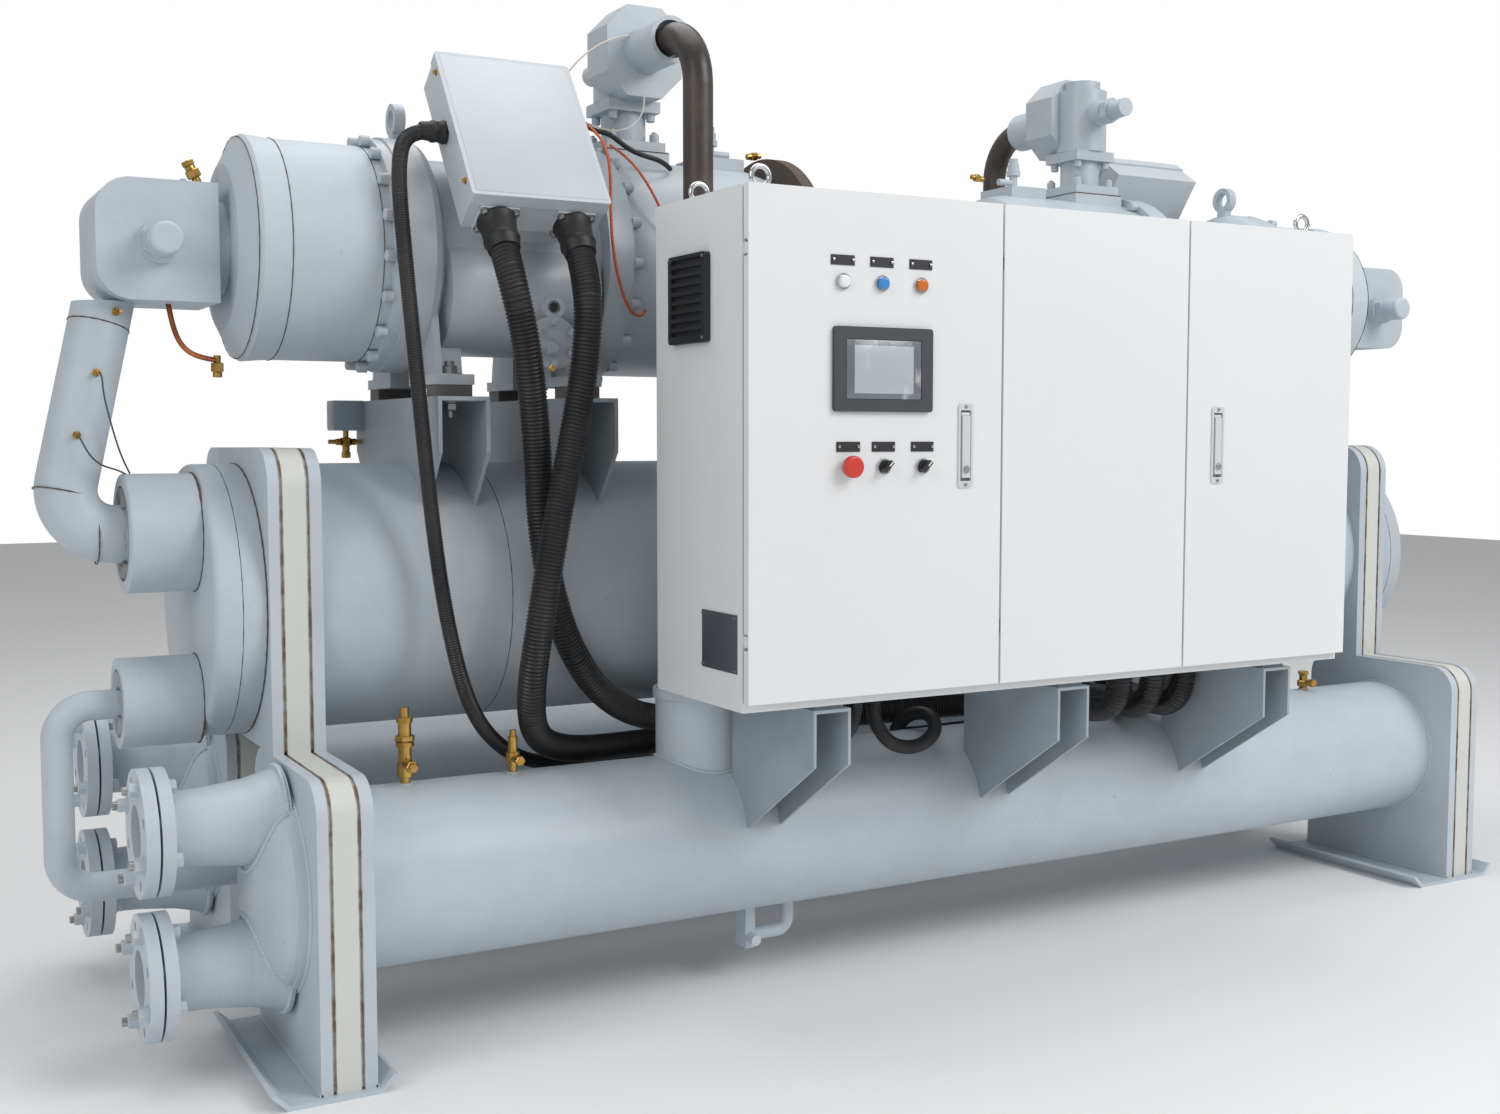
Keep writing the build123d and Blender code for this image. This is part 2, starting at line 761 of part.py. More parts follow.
# Discharge valve: column with two square flanges, round body, octagonal outlet and a stem behind
def discharge_column():
    half = column_w / 2
    neck_top = comp_z + column_neck_top
    body_top = comp_z + column_body_top
    inner = half - neck_flange_in
    made = box(column_x - half, column_x + half, -half, half, column_base, column_base + column_step)
    made += rod_z(column_base + column_step, neck_top, column_x, 0, column_neck_r)
    made += box(column_x - inner, column_x + inner, -inner, inner, neck_top - neck_flange_t, neck_top + 2)
    made += rod_z(neck_top + 2, body_top, column_x, column_back, column_body_r)
    made += rod_z(body_top, comp_z + column_cap_top, column_x, column_back, column_cap_r)
    ow, oh, c = octagon_w / 2, octagon_h / 2, octagon_corner
    pts = [(-ow, -oh + c), (-ow + c, -oh), (ow - c, -oh), (ow, -oh + c)]
    pts += [(ow, oh - c), (ow - c, oh), (-ow + c, oh), (-ow, oh - c)]
    made += prism_y([(column_x + a, octagon_z + b) for a, b in pts], octagon_y0, octagon_y1)
    made += rod_y(outlet_face, octagon_y0, column_x, octagon_z, outlet_r)
    made -= rod_y(outlet_face - 1, outlet_face + outlet_recess, column_x, octagon_z, outlet_r - outlet_wall)
    (collar_len, collar_r), (nut_len, nut_flats), (cap_len, cap_r) = back_stem_steps
    y = column_back
    made += rod_y(y, y + collar_len, column_x, octagon_z, collar_r)
    y += collar_len
    made += hex_y(y, y + nut_len, column_x, octagon_z, nut_flats)
    y += nut_len
    return made + rod_y(y, y + cap_len, column_x, octagon_z, cap_r)


def discharge_pipe():
    pts = [(column_x, outlet_face + outlet_recess, octagon_z), (column_x, -cond_y, octagon_z),
           (column_x, -cond_y, discharge_stub_top - discharge_stub_recess)]
    return bend(pts, [discharge_bend_r], discharge_r)


def discharge_stub():
    r, top, lip = discharge_stub_r, discharge_stub_top, discharge_stub_lip
    base = cond_z + cond_r / 2
    room = discharge_r + discharge_room
    profile = [(0, base), (r, base), (r, top - discharge_stub_lip_h - 2), (r + lip, top - discharge_stub_lip_h)]
    profile += [(r + lip, top - 2), (r + lip - 3, top), (room, top), (room, top - discharge_stub_recess)]
    profile += [(0, top - discharge_stub_recess)]
    return turned_z(profile, column_x, -cond_y) - shell_of(-cond_y)


def suction_valve(stem_side):
    block = box(valve_x0, valve_x1, -valve_half_y, valve_half_y, valve_z0, valve_z1)
    block = fillet(block.edges().filter_by(Axis.Y).group_by(Axis.X)[0], valve_corner_r)
    sz = comp_z - stem_drop
    y = -valve_half_y
    collar, nut, cap_len = stem_steps
    stem = rod_y(y - collar, y, valve_mid_x, sz, stem_r)
    stem += hex_y(y - collar - nut, y - collar, valve_mid_x, sz, stem_flats)
    cap = rod_y(y - collar - nut - cap_len, y - collar - nut, valve_mid_x, sz, stem_cap_r)
    stem += round_ends(cap, Axis.Y, 0, stem_cap_round)
    if stem_side > 0:
        stem = mirror(stem, Plane.XZ)
    return block + stem


def saddles():
    made = []
    half, web = saddle_half_y, saddle_web_half_y
    for cx in (saddle_1_x, saddle_2_x):
        a, b = cx - saddle_w / 2, cx + saddle_w / 2
        skirt, low = saddle_top - saddle_skirt, saddle_top - saddle_web
        side = [(-half, saddle_top), (half, saddle_top), (half, skirt), (web, low), (-web, low), (-half, skirt)]
        solid = prism_x(side, a, b)
        solid -= box(a + saddle_t, b - saddle_t, -half - 1, half + 1, low - saddle_web, saddle_top - saddle_t)
        solid -= evaporator
        for s in (-1, 1):
            solid += box(cx - mount_half_x, cx + mount_half_x, s * mount_y - mount_half_y,
                         s * mount_y + mount_half_y, saddle_top, saddle_top + rubber_h)
        made.append(solid)
    return made


makers = {
    "motor_housings": motor_housing,
    "rotor_housings": rotor_housing,
    "oil_separators": separator,
    "discharge_valves": discharge_column,
    "discharge_pipes": discharge_pipe,
    "discharge_stubs": discharge_stub,
    "terminal_boxes": terminal_box,
}
for what, maker in makers.items():
    shape = maker()
    out[what] = [shape, half_turn(shape)]
out["separator_end_cover"] = rod_x(comp_end, comp_end + end_cover_t, 0, comp_z, end_cover_r)
out["suction_valves"] = [suction_valve(-1), half_turn(suction_valve(1))]
out["compressor_saddles"] = saddles() + [half_turn(s) for s in saddles()]


# Cabinet body: folded sheet with a front rim and two uprights between the doors
body = box(cab_x0, cab_x1, cab_front, cab_back, cab_z0, cab_z1)
body -= box(cab_x0 + sheet, cab_x1 - sheet, cab_front + sheet, cab_back - sheet, cab_z0 + sheet, cab_z1 - sheet)
bays = ((cab_x0 + rim, split_1 - rim), (split_1 + rim, split_2 - rim), (split_2 + rim, cab_x1 - rim))
for xa, xb in bays:
    body -= box(xa, xb, cab_front - 1, cab_front + sheet + 1, cab_z0 + rim, cab_z1 - rim)

# Doors: folded pans on hidden pins, with an arm on the body between two barrels on the door
doors = {
    "left_door": (cab_x0, split_1 - door_gap / 2, 1),
    "middle_door": (split_1 + door_gap / 2, split_2 - door_gap / 2, 1),
    "right_door": (split_2 + door_gap / 2, cab_x1, -1),
}
hinge_zs = (door_z0 + hinge_end, door_z0 + door_h - hinge_end)
barrel_z = hinge_arm_h / 2 + hinge_gap
pin_half = barrel_z + hinge_barrel_h - 1
for name, (xa, xb, s) in doors.items():
    leaf = box(xa, xb, door_front, door_back, door_z0, door_z0 + door_h)
    leaf -= box(xa + door_sheet, xb - door_sheet, door_front + door_sheet, door_back + 1,
                door_z0 + door_sheet, door_z0 + door_h - door_sheet)
    edge = xa if s > 0 else xb
    hx = edge + s * hinge_in
    hy = door_front + hinge_in
    arm_x = sorted((hx - s * hinge_arm_t * 0.2, hx + s * hinge_arm_t * 0.8))
    for hz in hinge_zs:
        leaf -= box(edge - s, edge + s * door_sheet * 1.5, door_front + door_sheet, door_back + 1,
                    hz - hinge_slot / 2, hz + hinge_slot / 2)
        for z0 in (hz + barrel_z, hz - barrel_z - hinge_barrel_h):
            leaf += rod_z(z0, z0 + hinge_barrel_h, hx, hy, hinge_barrel_r)
        leaf -= rod_z(hz - hinge_slot, hz + hinge_slot, hx, hy, hinge_pin_d / 2 + fit)
        body += box(arm_x[0], arm_x[1], hy, cab_front, hz - hinge_arm_h / 2, hz + hinge_arm_h / 2)
        body += rod_z(hz - pin_half, hz + pin_half, hx, hy, hinge_pin_d / 2)
    out[name] = leaf


# Lifting rings on the cabinet roof
def lifting_ring(x, y):
    seat = rod_z(cab_z1, cab_z1 + ring_seat_h, x, y, ring_seat_r)
    neck = rod_z(cab_z1 + ring_seat_h - 2, cab_z1 + ring_seat_h + 4, x, y, ring_seat_r / 2)
    eye_z = cab_z1 + ring_seat_h + ring_r_big
    return seat + neck + Pos(x, y, eye_z) * Rot(90, 0, 0) * Torus(ring_r_big, ring_r_wire)


out["cabinet_lifting_rings"] = [lifting_ring(x, y) for x in (cab_x0 + ring_in, cab_x1 - ring_in)
                                for y in (cab_front + ring_front, cab_back - ring_back)]

# Fan filter on the left side of the cabinet, with its slots
fan = box(cab_x0 - fan_t, cab_x0, fan_mid_y - fan_w / 2, fan_mid_y + fan_w / 2,
          fan_mid_z - fan_h / 2, fan_mid_z + fan_h / 2)
fan = fillet(fan.edges().filter_by(Axis.X), fan_round)
slot_pitch = (fan_h - fan_border) / fan_slots
for k in range(fan_slots):
    z = fan_mid_z - fan_h / 2 + fan_border + k * slot_pitch
    fan -= box(cab_x0 - fan_t - 1, cab_x0 - fan_t + fan_slot_d, fan_mid_y - fan_w / 2 + fan_border,
               fan_mid_y + fan_w / 2 - fan_border, z, z + fan_slot_h)
out["fan_filter"] = fan


# Brackets: the channel's web runs back and down to the condenser, cut to its curve
def bracket(bx):
    a, b = bx - bracket_w / 2, bx + bracket_w / 2
    side = [(cab_front, bracket_top), (bracket_back_y, bracket_top), (bracket_back_y, bracket_top - bracket_back)]
    side += [(bracket_tip_y, bracket_top - bracket_tip), (cab_front, bracket_top - bracket_nose)]
    channel = prism_x(side, a, b)
    channel -= box(a + bracket_t, b - bracket_t, cab_front - 1, cab_back, cond_z - cond_r, bracket_top - bracket_t)
    channel -= shell_of(-cond_y)
    pad = box(bx - bracket_pad_half, bx + bracket_pad_half, cab_front + 2 * bracket_t, bracket_back_y - 2 * bracket_t,
              bracket_top, cab_z0)
    return channel + pad


out["cabinet_brackets"] = [bracket(bx) for bx in bracket_xs]
power_seats = (left_power_1_at, left_power_2_at, right_power_1_at, right_power_2_at)
control_seats = (left_control_at, right_control_at)
for seats, r in ((power_seats, power_r), (control_seats, control_r)):
    for gx, gy in seats:
        body += rod_z(cab_z0 - cabinet_gland_h, cab_z0 + sheet / 2, gx, gy, r + cabinet_gland_wall)
out["cabinet_body"] = body


# Operator controls on the left door
def plate_on_door(x, z, w, h, t, corner_r):
    plate = box(x - w / 2, x + w / 2, door_front - t, door_front, z - h / 2, z + h / 2)
    return fillet(plate.edges().filter_by(Axis.Y), corner_r) if corner_r else plate


panel = plate_on_door(panel_x, panel_z, panel_w, panel_h, panel_t, panel_round)
panel -= box(panel_x - screen_w / 2, panel_x + screen_w / 2, door_front - panel_t - 1, door_front - panel_t + screen_d,
             panel_z - screen_h / 2, panel_z + screen_h / 2)
out["operator_panel"] = panel


def lamp(x):
    ring = rod_y(door_front - lamp_ring_t, door_front, x, row_3_z, lamp_ring_r)
    dome = rod_y(door_front - lamp_ring_t - lamp_lens_t, door_front - lamp_ring_t, x, row_3_z, lamp_lens_r)
    return ring + round_ends(dome, Axis.Y, 0, lamp_round)


out["signal_lamps"] = [lamp(x) for x in lamp_xs]
tag_places = [(x, row_3_z + lamp_tag_rise) for x in lamp_xs]
tag_places += [(x, stop_z + switch_tag_rise) for x in (stop_x,) + switch_xs]
out["legend_plates"] = [plate_on_door(x, z, tag_w, tag_h, tag_t, 0) for x, z in tag_places]

# Emergency stop: collar on the door, mushroom head on its own body, stem through the sheet
collar = rod_y(door_front - stop_collar_t, door_front, stop_x, stop_z, stop_collar_r)
collar -= rod_y(door_front - stop_collar_t - 1, door_front + 1, stop_x, stop_z, stop_stem_r + 1)
head = rod_y(door_front - stop_stand - stop_head_t, door_front - stop_stand, stop_x, stop_z, stop_r)
head = round_ends(head, Axis.Y, 0, stop_round)
out["emergency_stop"] = head + rod_y(door_front - stop_stand, door_front - 2, stop_x, stop_z, stop_stem_r)
out["left_door"] -= rod_y(door_front - 1, door_front + door_sheet + 1, stop_x, stop_z, stop_stem_r + 1)

# Selector switches: chromed ring on the door, turning handle on its own body
switch_rings = [collar]
for name, sx in zip(("left_selector", "right_selector"), switch_xs):
    ring = rod_y(door_front - switch_ring_t, door_front, sx, stop_z, switch_ring_r)
    ring -= rod_y(door_front - switch_ring_t - 1, door_front + 1, sx, stop_z, knob_r + knob_gap)
    switch_rings.append(ring)
    knob = rod_y(door_front - switch_ring_t - 2, door_front - knob_gap, sx, stop_z, knob_r)
    bar_y = door_front - switch_ring_t - 1 - knob_bar[1] / 2
    out[name] = knob + Pos(sx, bar_y, stop_z) * Rot(0, 45, 0) * Box(*knob_bar)
out["switch_collars"] = switch_rings

# Door handles: recessed plate on the door, swinging lever on its own body
pin_y = door_front + lever_pin_in
pin_z = handle_z + lever_pin_up
for side, hx in (("left", left_handle_x), ("right", right_handle_x)):
    plate = plate_on_door(hx, handle_z, handle_w, handle_h, handle_lip, handle_round)
    low, high = handle_z - tray_half_h, handle_z + tray_half_h
    tray = box(hx - tray_half_w, hx + tray_half_w, door_front - handle_lip, door_front + tray_d, low, high)
    cut = box(hx - tray_half_w + tray_t, hx + tray_half_w - tray_t, door_front - handle_lip - 1,
              door_front + tray_d - tray_t, low + tray_t, high - tray_t)
    out[f"{side}_door"] -= box(hx - tray_half_w, hx + tray_half_w, door_front - 1, door_front + door_sheet + 1, low, high)
    pin = rod_x(hx - tray_half_w + tray_t / 2, hx + tray_half_w - tray_t / 2, pin_y, pin_z, lever_pin_r)
    out[f"{side}_handle_plate"] = plate + tray - cut + pin
    lever = box(hx - lever_half_w, hx + lever_half_w, door_front - lever_out, door_front + lever_in,
                handle_z - lever_low, pin_z - lever_in)
    lever += rod_x(hx - lever_half_w, hx + lever_half_w, pin_y, pin_z, lever_eye_r)
    lever -= rod_x(hx - tray_half_w, hx + tray_half_w, pin_y, pin_z, lever_pin_r + fit)
    out[f"{side}_handle"] = lever


# Small valves on the front condenser: turned steps one on the other, with a side port
def stepped_valve(x, steps, port):
    rise, reach, port_radius = port
    z = cond_top - valve_seat
    made = rod_y(-cond_y - reach, -cond_y, x, cond_top + rise - valve_seat, port_radius)
    for h, r in steps:
        made += rod_z(z, z + h, x, -cond_y, r)
        z += h
    return made - shell_of(-cond_y)


drain_x1 = drain_x - drain_run
drain_z = cond_z - cond_r - drain_low
drain = bend([(drain_x, -cond_y, cond_z - cond_r + valve_seat), (drain_x, -cond_y, drain_z),
              (drain_x1, -cond_y, drain_z)], [drain_bend_r], drain_r)
drain += box(drain_x1 - drain_strap_t / 2, drain_x1 + drain_strap_t / 2, -cond_y - drain_strap_half,
             -cond_y + drain_strap_half, drain_z - drain_strap_half, cond_z - cond_r + valve_seat)
drain += rod_y(-cond_y - drain_cap[0], -cond_y, drain_x1, drain_z, drain_cap[1])
drain -= shell_of(-cond_y)
out["charging_valves"] = [stepped_valve(-half_len + relief_in, relief_steps, relief_port),
                          stepped_valve(-half_len + service_in, service_steps, service_port), drain]


# Flexible conduits: straight runs joined by tangent arcs, each arc as large as its runs allow
def cord(points, r):
    v = [Vector(*p) for p in points]
    radii = []
    for a, b, c in zip(v, v[1:], v[2:]):
        u, w = b - a, c - b
        turn = math.radians(u.get_angle(w))
        radii.append(arc_share * min(u.length, w.length) / math.tan(turn / 2))
    return bend(points, radii, r), radii


plane, tbox_up, tbox_out = box_frame()
mouth = plane.origin - tbox_out * gland_depth - tbox_up * (gland_plate_t / 2 + gland_len)
below = mouth - tbox_up * gland_run
gland_1, gland_2 = (tbox_x0 + tbox_w * share for share in gland_places)
side_x = tbox_x0 - side_gland_len
side_z = comp_z + side_gland_rise
under = cab_z0 - cabinet_gland_h


def drop(gland_x, offsets):
    # out of the gland, then down beside the saddles: offsets in x from the gland
    start = [(gland_x, mouth.Y, mouth.Z), (gland_x, below.Y, below.Z)]
    return start + [(gland_x + dx, y, z) for dx, y, z in offsets]


def rise(seat, side, points):
    # along the condenser and up into the gland: points in x and y from the gland
    gx, gy = seat
    up = points + [(0, side * seat_back, under - seat_run - seat_back), (0, 0, under - seat_run), (0, 0, under)]
    return [(side * gx + dx, side * gy + dy, z) for dx, dy, z in up]


def side_drop(offsets):
    # out of the side of the terminal box, then down: offsets in x from that gland
    start = [(side_x, side_gland_y, side_z), (side_x - side_run, side_gland_y, side_z)]
    return start + [(side_x + dx, y, z) for dx, y, z in offsets]


routes = {
    "left_power_conduit_1": (power_r, 1, drop(gland_1, [
        (35, -370, 1290), (68, -330, 1120), (85, -306, 930), (118, -306, 760), (193, -285, 630), (298, -238, 555)])
        + rise(left_power_1_at, 1, [(-188, 348, 528), (-90, 315, 520), (-25, 235, 516), (0, 140, 512)])),
    "left_power_conduit_2": (power_r, 1, drop(gland_2, [
        (-5, -390, 1290), (-37, -392, 1120), (-77, -388, 930), (-104, -380, 760), (-112, -345, 620),
        (-72, -270, 525), (28, -190, 480), (168, -140, 468), (388, -108, 470)])
        + rise(left_power_2_at, 1, [(-542, 460, 476), (-312, 430, 484), (-142, 370, 494), (-47, 270, 506),
                                    (-4, 160, 512)])),
    "left_control_conduit": (control_r, 1, side_drop([
        (-86, -226, 1630), (-84, -262, 1450), (-72, -292, 1205), (-58, -318, 960), (-38, -332, 780),
        (2, -325, 620), (82, -250, 520), (222, -120, 440), (482, -60, 412)])
        + rise(left_control_at, 1, [(-80, 458, 412), (-22, 360, 446), (-5, 255, 490), (0, 150, 502)])),
    "right_power_conduit_1": (power_r, -1, drop(gland_1, [
        (33, -370, 1290), (58, -340, 1120), (68, -318, 930), (78, -318, 760), (113, -270, 620), (183, -175, 535),
        (268, -50, 488), (343, 80, 482), (423, 220, 494)])
        + rise(right_power_1_at, -1, [(-50, -220, 510), (-8, -130, 512)])),
    "right_power_conduit_2": (power_r, -1, drop(gland_2, [
        (3, -382, 1290), (8, -360, 1120), (16, -335, 930), (30, -322, 760), (70, -270, 620), (135, -175, 535),
        (220, -50, 488), (300, 80, 482), (385, 220, 494)])
        + rise(right_power_2_at, -1, [(-65, -220, 510), (-20, -120, 512)])),
    "right_control_conduit": (control_r, -1, side_drop([
        (-86, -226, 1630), (-84, -262, 1450), (-72, -292, 1205), (-58, -318, 960), (-38, -332, 780),
        (2, -325, 620), (112, -200, 500), (302, -60, 420), (622, 10, 408), (922, 60, 412), (1122, 120, 424),
        (1182, 215, 466), (1210, 320, 516), (1222, 410, 522), (1262, 478, 496), (1327, 500, 474), (1392, 502, 486),
        (1432, 506, 530), (1444, 510, 566), (1444, 510, under)])),
}
for name, (r, side, pts) in routes.items():
    pts = [(side * x, side * y, z) for x, y, z in pts]
    tube, radii = cord(pts, r)
    out[name] = tube
    runs = [(Vector(*b) - Vector(*a)).length for a, b in zip(pts, pts[1:])]
    share = tube.volume / (math.pi * r * r * sum(runs))
    print(name, "points", len(pts), "runs", round(min(runs)), round(max(runs)), "length", round(sum(runs)),
          "volume to section times length", round(share, 3))
    print("   radii", [round(v) for v in radii])

# Write every node, with the machine's middle on the origin
parts = {n: (s if isinstance(s, list) else [s]) for n, s in out.items()}
solids = {n: [b for s in many for b in s.solids()] for n, many in parts.items()}
whole = Compound([b for many in solids.values() for b in many]).bounding_box()
move = Pos(-(whole.min.X + whole.max.X) / 2, -(whole.min.Y + whole.max.Y) / 2, -whole.min.Z)
print("size", tuple(whole.size), "shift", tuple(move.position))
for name, many in solids.items():
    placed = [move * b for b in many]
    export_step(placed[0] if len(placed) == 1 else Compound(placed), f"parts/{name}.step")
    print(name, len(placed), round(sum(b.volume for b in placed) / 1e6, 2))
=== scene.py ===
import math

import bmesh
import bpy
from mathutils import Matrix, Vector


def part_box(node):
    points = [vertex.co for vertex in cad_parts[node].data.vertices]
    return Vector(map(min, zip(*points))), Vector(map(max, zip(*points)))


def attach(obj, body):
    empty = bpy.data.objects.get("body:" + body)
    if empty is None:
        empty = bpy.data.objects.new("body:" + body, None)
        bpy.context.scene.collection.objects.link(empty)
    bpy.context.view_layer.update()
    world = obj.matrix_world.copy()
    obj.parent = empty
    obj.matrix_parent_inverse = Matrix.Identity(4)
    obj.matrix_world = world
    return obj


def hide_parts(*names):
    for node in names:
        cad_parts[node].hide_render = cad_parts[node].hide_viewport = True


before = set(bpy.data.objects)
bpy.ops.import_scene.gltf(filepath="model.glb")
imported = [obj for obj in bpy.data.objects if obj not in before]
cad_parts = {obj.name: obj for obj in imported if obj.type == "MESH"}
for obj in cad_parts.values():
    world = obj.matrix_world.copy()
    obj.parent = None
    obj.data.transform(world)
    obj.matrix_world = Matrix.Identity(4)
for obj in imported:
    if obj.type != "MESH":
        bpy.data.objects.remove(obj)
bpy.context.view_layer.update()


# Condenser shells, their end plates and the tray feet: rolled and folded steel, welded up,
# then sprayed in one coat of pale blue-grey enamel that shows a little orange peel and dust.
class Wire:
    """A socket in a node tree. A sum on it adds the Math node for it."""

    def __init__(self, net, socket):
        self.net = net
        self.socket = socket

    def sum(self, operation, a, b):
        return self.net.add("ShaderNodeMath", {"operation": operation}, {0: a, 1: b})

    def __add__(self, other):
        return self.sum("ADD", self, other)

    def __radd__(self, other):
        return self.sum("ADD", other, self)

    def __sub__(self, other):
        return self.sum("SUBTRACT", self, other)

    def __rsub__(self, other):
        return self.sum("SUBTRACT", other, self)

    def __mul__(self, other):
        return self.sum("MULTIPLY", self, other)

    def __rmul__(self, other):
        return self.sum("MULTIPLY", other, self)

    def __truediv__(self, other):
        return self.sum("DIVIDE", self, other)

    def __gt__(self, other):
        return self.sum("GREATER_THAN", self, other)

    def __lt__(self, other):
        return self.sum("LESS_THAN", self, other)

    def __abs__(self):
        return self.sum("ABSOLUTE", self, 0.0)

    def between(self, low, high):
        return (self > low) * (self < high)


class Net:
    """A node tree that takes any node by its type, its settings and its sockets' values."""

    def __init__(self, tree):
        self.tree = tree

    def add(self, kind, settings=None, values=None, out=0):
        node = self.tree.nodes.new(kind)
        for key, value in (settings or {}).items():
            if key == "stops":
                ramp = node.color_ramp.elements
                while len(ramp) < len(value):
                    ramp.new(1.0)
                for stop, (place, colour) in zip(ramp, value):
                    stop.position = place
                    stop.color = colour
            else:
                setattr(node, key, value)
        for key, value in (values or {}).items():
            self.put(node.inputs[key], value)
        return Wire(self, node.outputs[out])

    def put(self, socket, value):
        if isinstance(value, Wire):
            self.tree.links.new(value.socket, socket)
        else:
            socket.default_value = value


def srgb(r, g, b):
    return tuple((c / 255 / 12.92 if c < 11 else ((c / 255 + 0.055) / 1.055) ** 2.4) for c in (r, g, b)) + (1.0,)


class Finish(Net):
    """A material on one Principled shader, with Object coordinates ready as .place."""

    def __init__(self, name, slot, colour, roughness, metallic=0.0, coat=0.0):
        self.slot = slot
        self.material = bpy.data.materials.new(name)
        self.material.use_nodes = True
        super().__init__(self.material.node_tree)
        self.shader = self.tree.nodes["Principled BSDF"]
        self.colour = colour
        self.place = self.add("ShaderNodeTexCoord", out="Object")
        self.set("Base Color", colour)
        self.set("Roughness", roughness)
        self.set("Metallic", metallic)
        self.set("Coat Weight", coat)
        self.set("Coat Roughness", 0.15)
        self.material.diffuse_color = colour

    def set(self, socket, value):
        self.put(self.shader.inputs[socket], value)

    def axis(self, name):
        return self.add("ShaderNodeSeparateXYZ", values={"Vector": self.place}, out=name)

    def noise(self, scale, detail=3.0, stretch=None, rough=0.5):
        place = self.place
        if stretch:
            place = self.add("ShaderNodeMapping", values={"Vector": place, "Scale": stretch})
        return self.add("ShaderNodeTexNoise", values={"Vector": place, "Scale": scale, "Detail": detail,
                                                      "Roughness": rough}, out="Fac")

    def blend(self, mask, a, b):
        node = self.tree.nodes.new("ShaderNodeMix")
        node.data_type = "RGBA"
        self.put(node.inputs[0], mask)
        self.put(node.inputs[6], a)
        self.put(node.inputs[7], b)
        return Wire(self, node.outputs[2])

    def ramp(self, value, low, high):
        return self.add("ShaderNodeMapRange", values={"Value": value, "From Min": low, "From Max": high})

    def bump(self, height, depth, strength=1.0):
        self.set("Normal", self.add("ShaderNodeBump", values={"Height": height, "Distance": depth,
                                                               "Strength": strength}))


def enamel(name, slot, colour, dust, peel, waves, roughness):
    coat = Finish(name, slot, colour, roughness)
    patch = coat.noise(1.6, 4.0)
    strokes = coat.noise(9.0, 5.0, rough=0.6)
    worn = coat.ramp(patch * 0.6 + strokes * 0.4, 0.36, 0.64)
    base = coat.blend(worn, dust, colour)
    spots = coat.ramp(coat.noise(55.0, 2.0), 0.72, 0.78) * coat.ramp(patch, 0.52, 0.62)
    coat.paint = coat.blend(spots * 0.5, base, srgb(150, 140, 128))
    coat.set("Base Color", coat.paint)
    coat.set("Roughness", roughness - 0.08 + strokes * 0.16)
    coat.bump(coat.noise(260.0, 1.0) * peel + coat.noise(6.0, 2.0) * waves, 0.001)
    return coat


def dress(finish, *nodes):
    for name in nodes:
        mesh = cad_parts[name].data
        mesh.materials.clear()
        mesh.materials.append(finish.material)


shell_low, shell_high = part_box("evaporator_shell")
middle = (shell_low + shell_high) / 2


def spot(x, y, z):
    """A place on the machine, given in millimetres from the middle of its vessels at floor level."""
    return Vector((middle.x + x / 1000, middle.y + y / 1000, z / 1000))


pale_blue = srgb(194, 203, 210)
dusty_blue = srgb(182, 191, 198)
vessel_paint = enamel("vessel_paint", "vessel_paint", pale_blue, dusty_blue, 0.12, 0.9, 0.42)
dress(vessel_paint, "condenser_shells", "feet", "water_boxes", "discharge_stubs")


def finish_mesh(name, bm, finish, body="machine"):
    """Makes one object of a bmesh, in the finish given, and lets it ride on a body."""
    mesh = bpy.data.meshes.new(name)
    bm.to_mesh(mesh)
    bm.free()
    mesh.materials.append(finish.material)
    mesh.shade_smooth()
    mesh.set_sharp_from_angle(angle=math.radians(35))
    piece = bpy.data.objects.new(name, mesh)
    bpy.context.scene.collection.objects.link(piece)
    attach(piece, body)
    return piece


def plain_mesh(name, holder, body):
    """Turns an object with a node modifier into a plain mesh that rides on a body."""
    bpy.context.view_layer.update()
    graph = bpy.context.evaluated_depsgraph_get()
    mesh = bpy.data.meshes.new_from_object(holder.evaluated_get(graph))
    bpy.data.objects.remove(holder)
    mesh.name = name
    mesh.shade_smooth()
    mesh.set_sharp_from_angle(angle=math.radians(38))
    piece = bpy.data.objects.new(name, mesh)
    bpy.context.scene.collection.objects.link(piece)
    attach(piece, body)
    return piece


def node_group(name, inputs):
    tree = bpy.data.node_groups.new(name, "GeometryNodeTree")
    face = tree.interface
    face.new_socket(name="Geometry", in_out="INPUT", socket_type="NodeSocketGeometry")
    for label, kind, value in inputs:
        socket = face.new_socket(name=label, in_out="INPUT", socket_type="NodeSocket" + kind)
        if value is not None:
            socket.default_value = value
    face.new_socket(name="Geometry", in_out="OUTPUT", socket_type="NodeSocketGeometry")
    net = Net(tree)
    entry = tree.nodes.new("NodeGroupInput")
    net.given = {s.name: Wire(net, s) for s in entry.outputs if s.name}
    return net


def close_group(net, shape):
    solid = net.add("GeometryNodeRealizeInstances", values={"Geometry": shape})
    painted = net.add("GeometryNodeSetMaterial", values={"Geometry": solid, "Material": net.given["Material"]})
    leave = net.tree.nodes.new("NodeGroupOutput")
    net.put(leave.inputs["Geometry"], painted)


def apply_group(name, mesh, net, values, finish, body="machine"):
    holder = bpy.data.objects.new(name + "_maker", mesh)
    bpy.context.scene.collection.objects.link(holder)
    modifier = holder.modifiers.new("maker", "NODES")
    modifier.node_group = net.tree
    for item in net.tree.interface.items_tree:
        if item.in_out == "INPUT" and item.name in values:
            modifier[item.identifier] = values[item.name]
        elif item.in_out == "INPUT" and item.name == "Material":
            modifier[item.identifier] = finish.material
    return plain_mesh(name, holder, body)


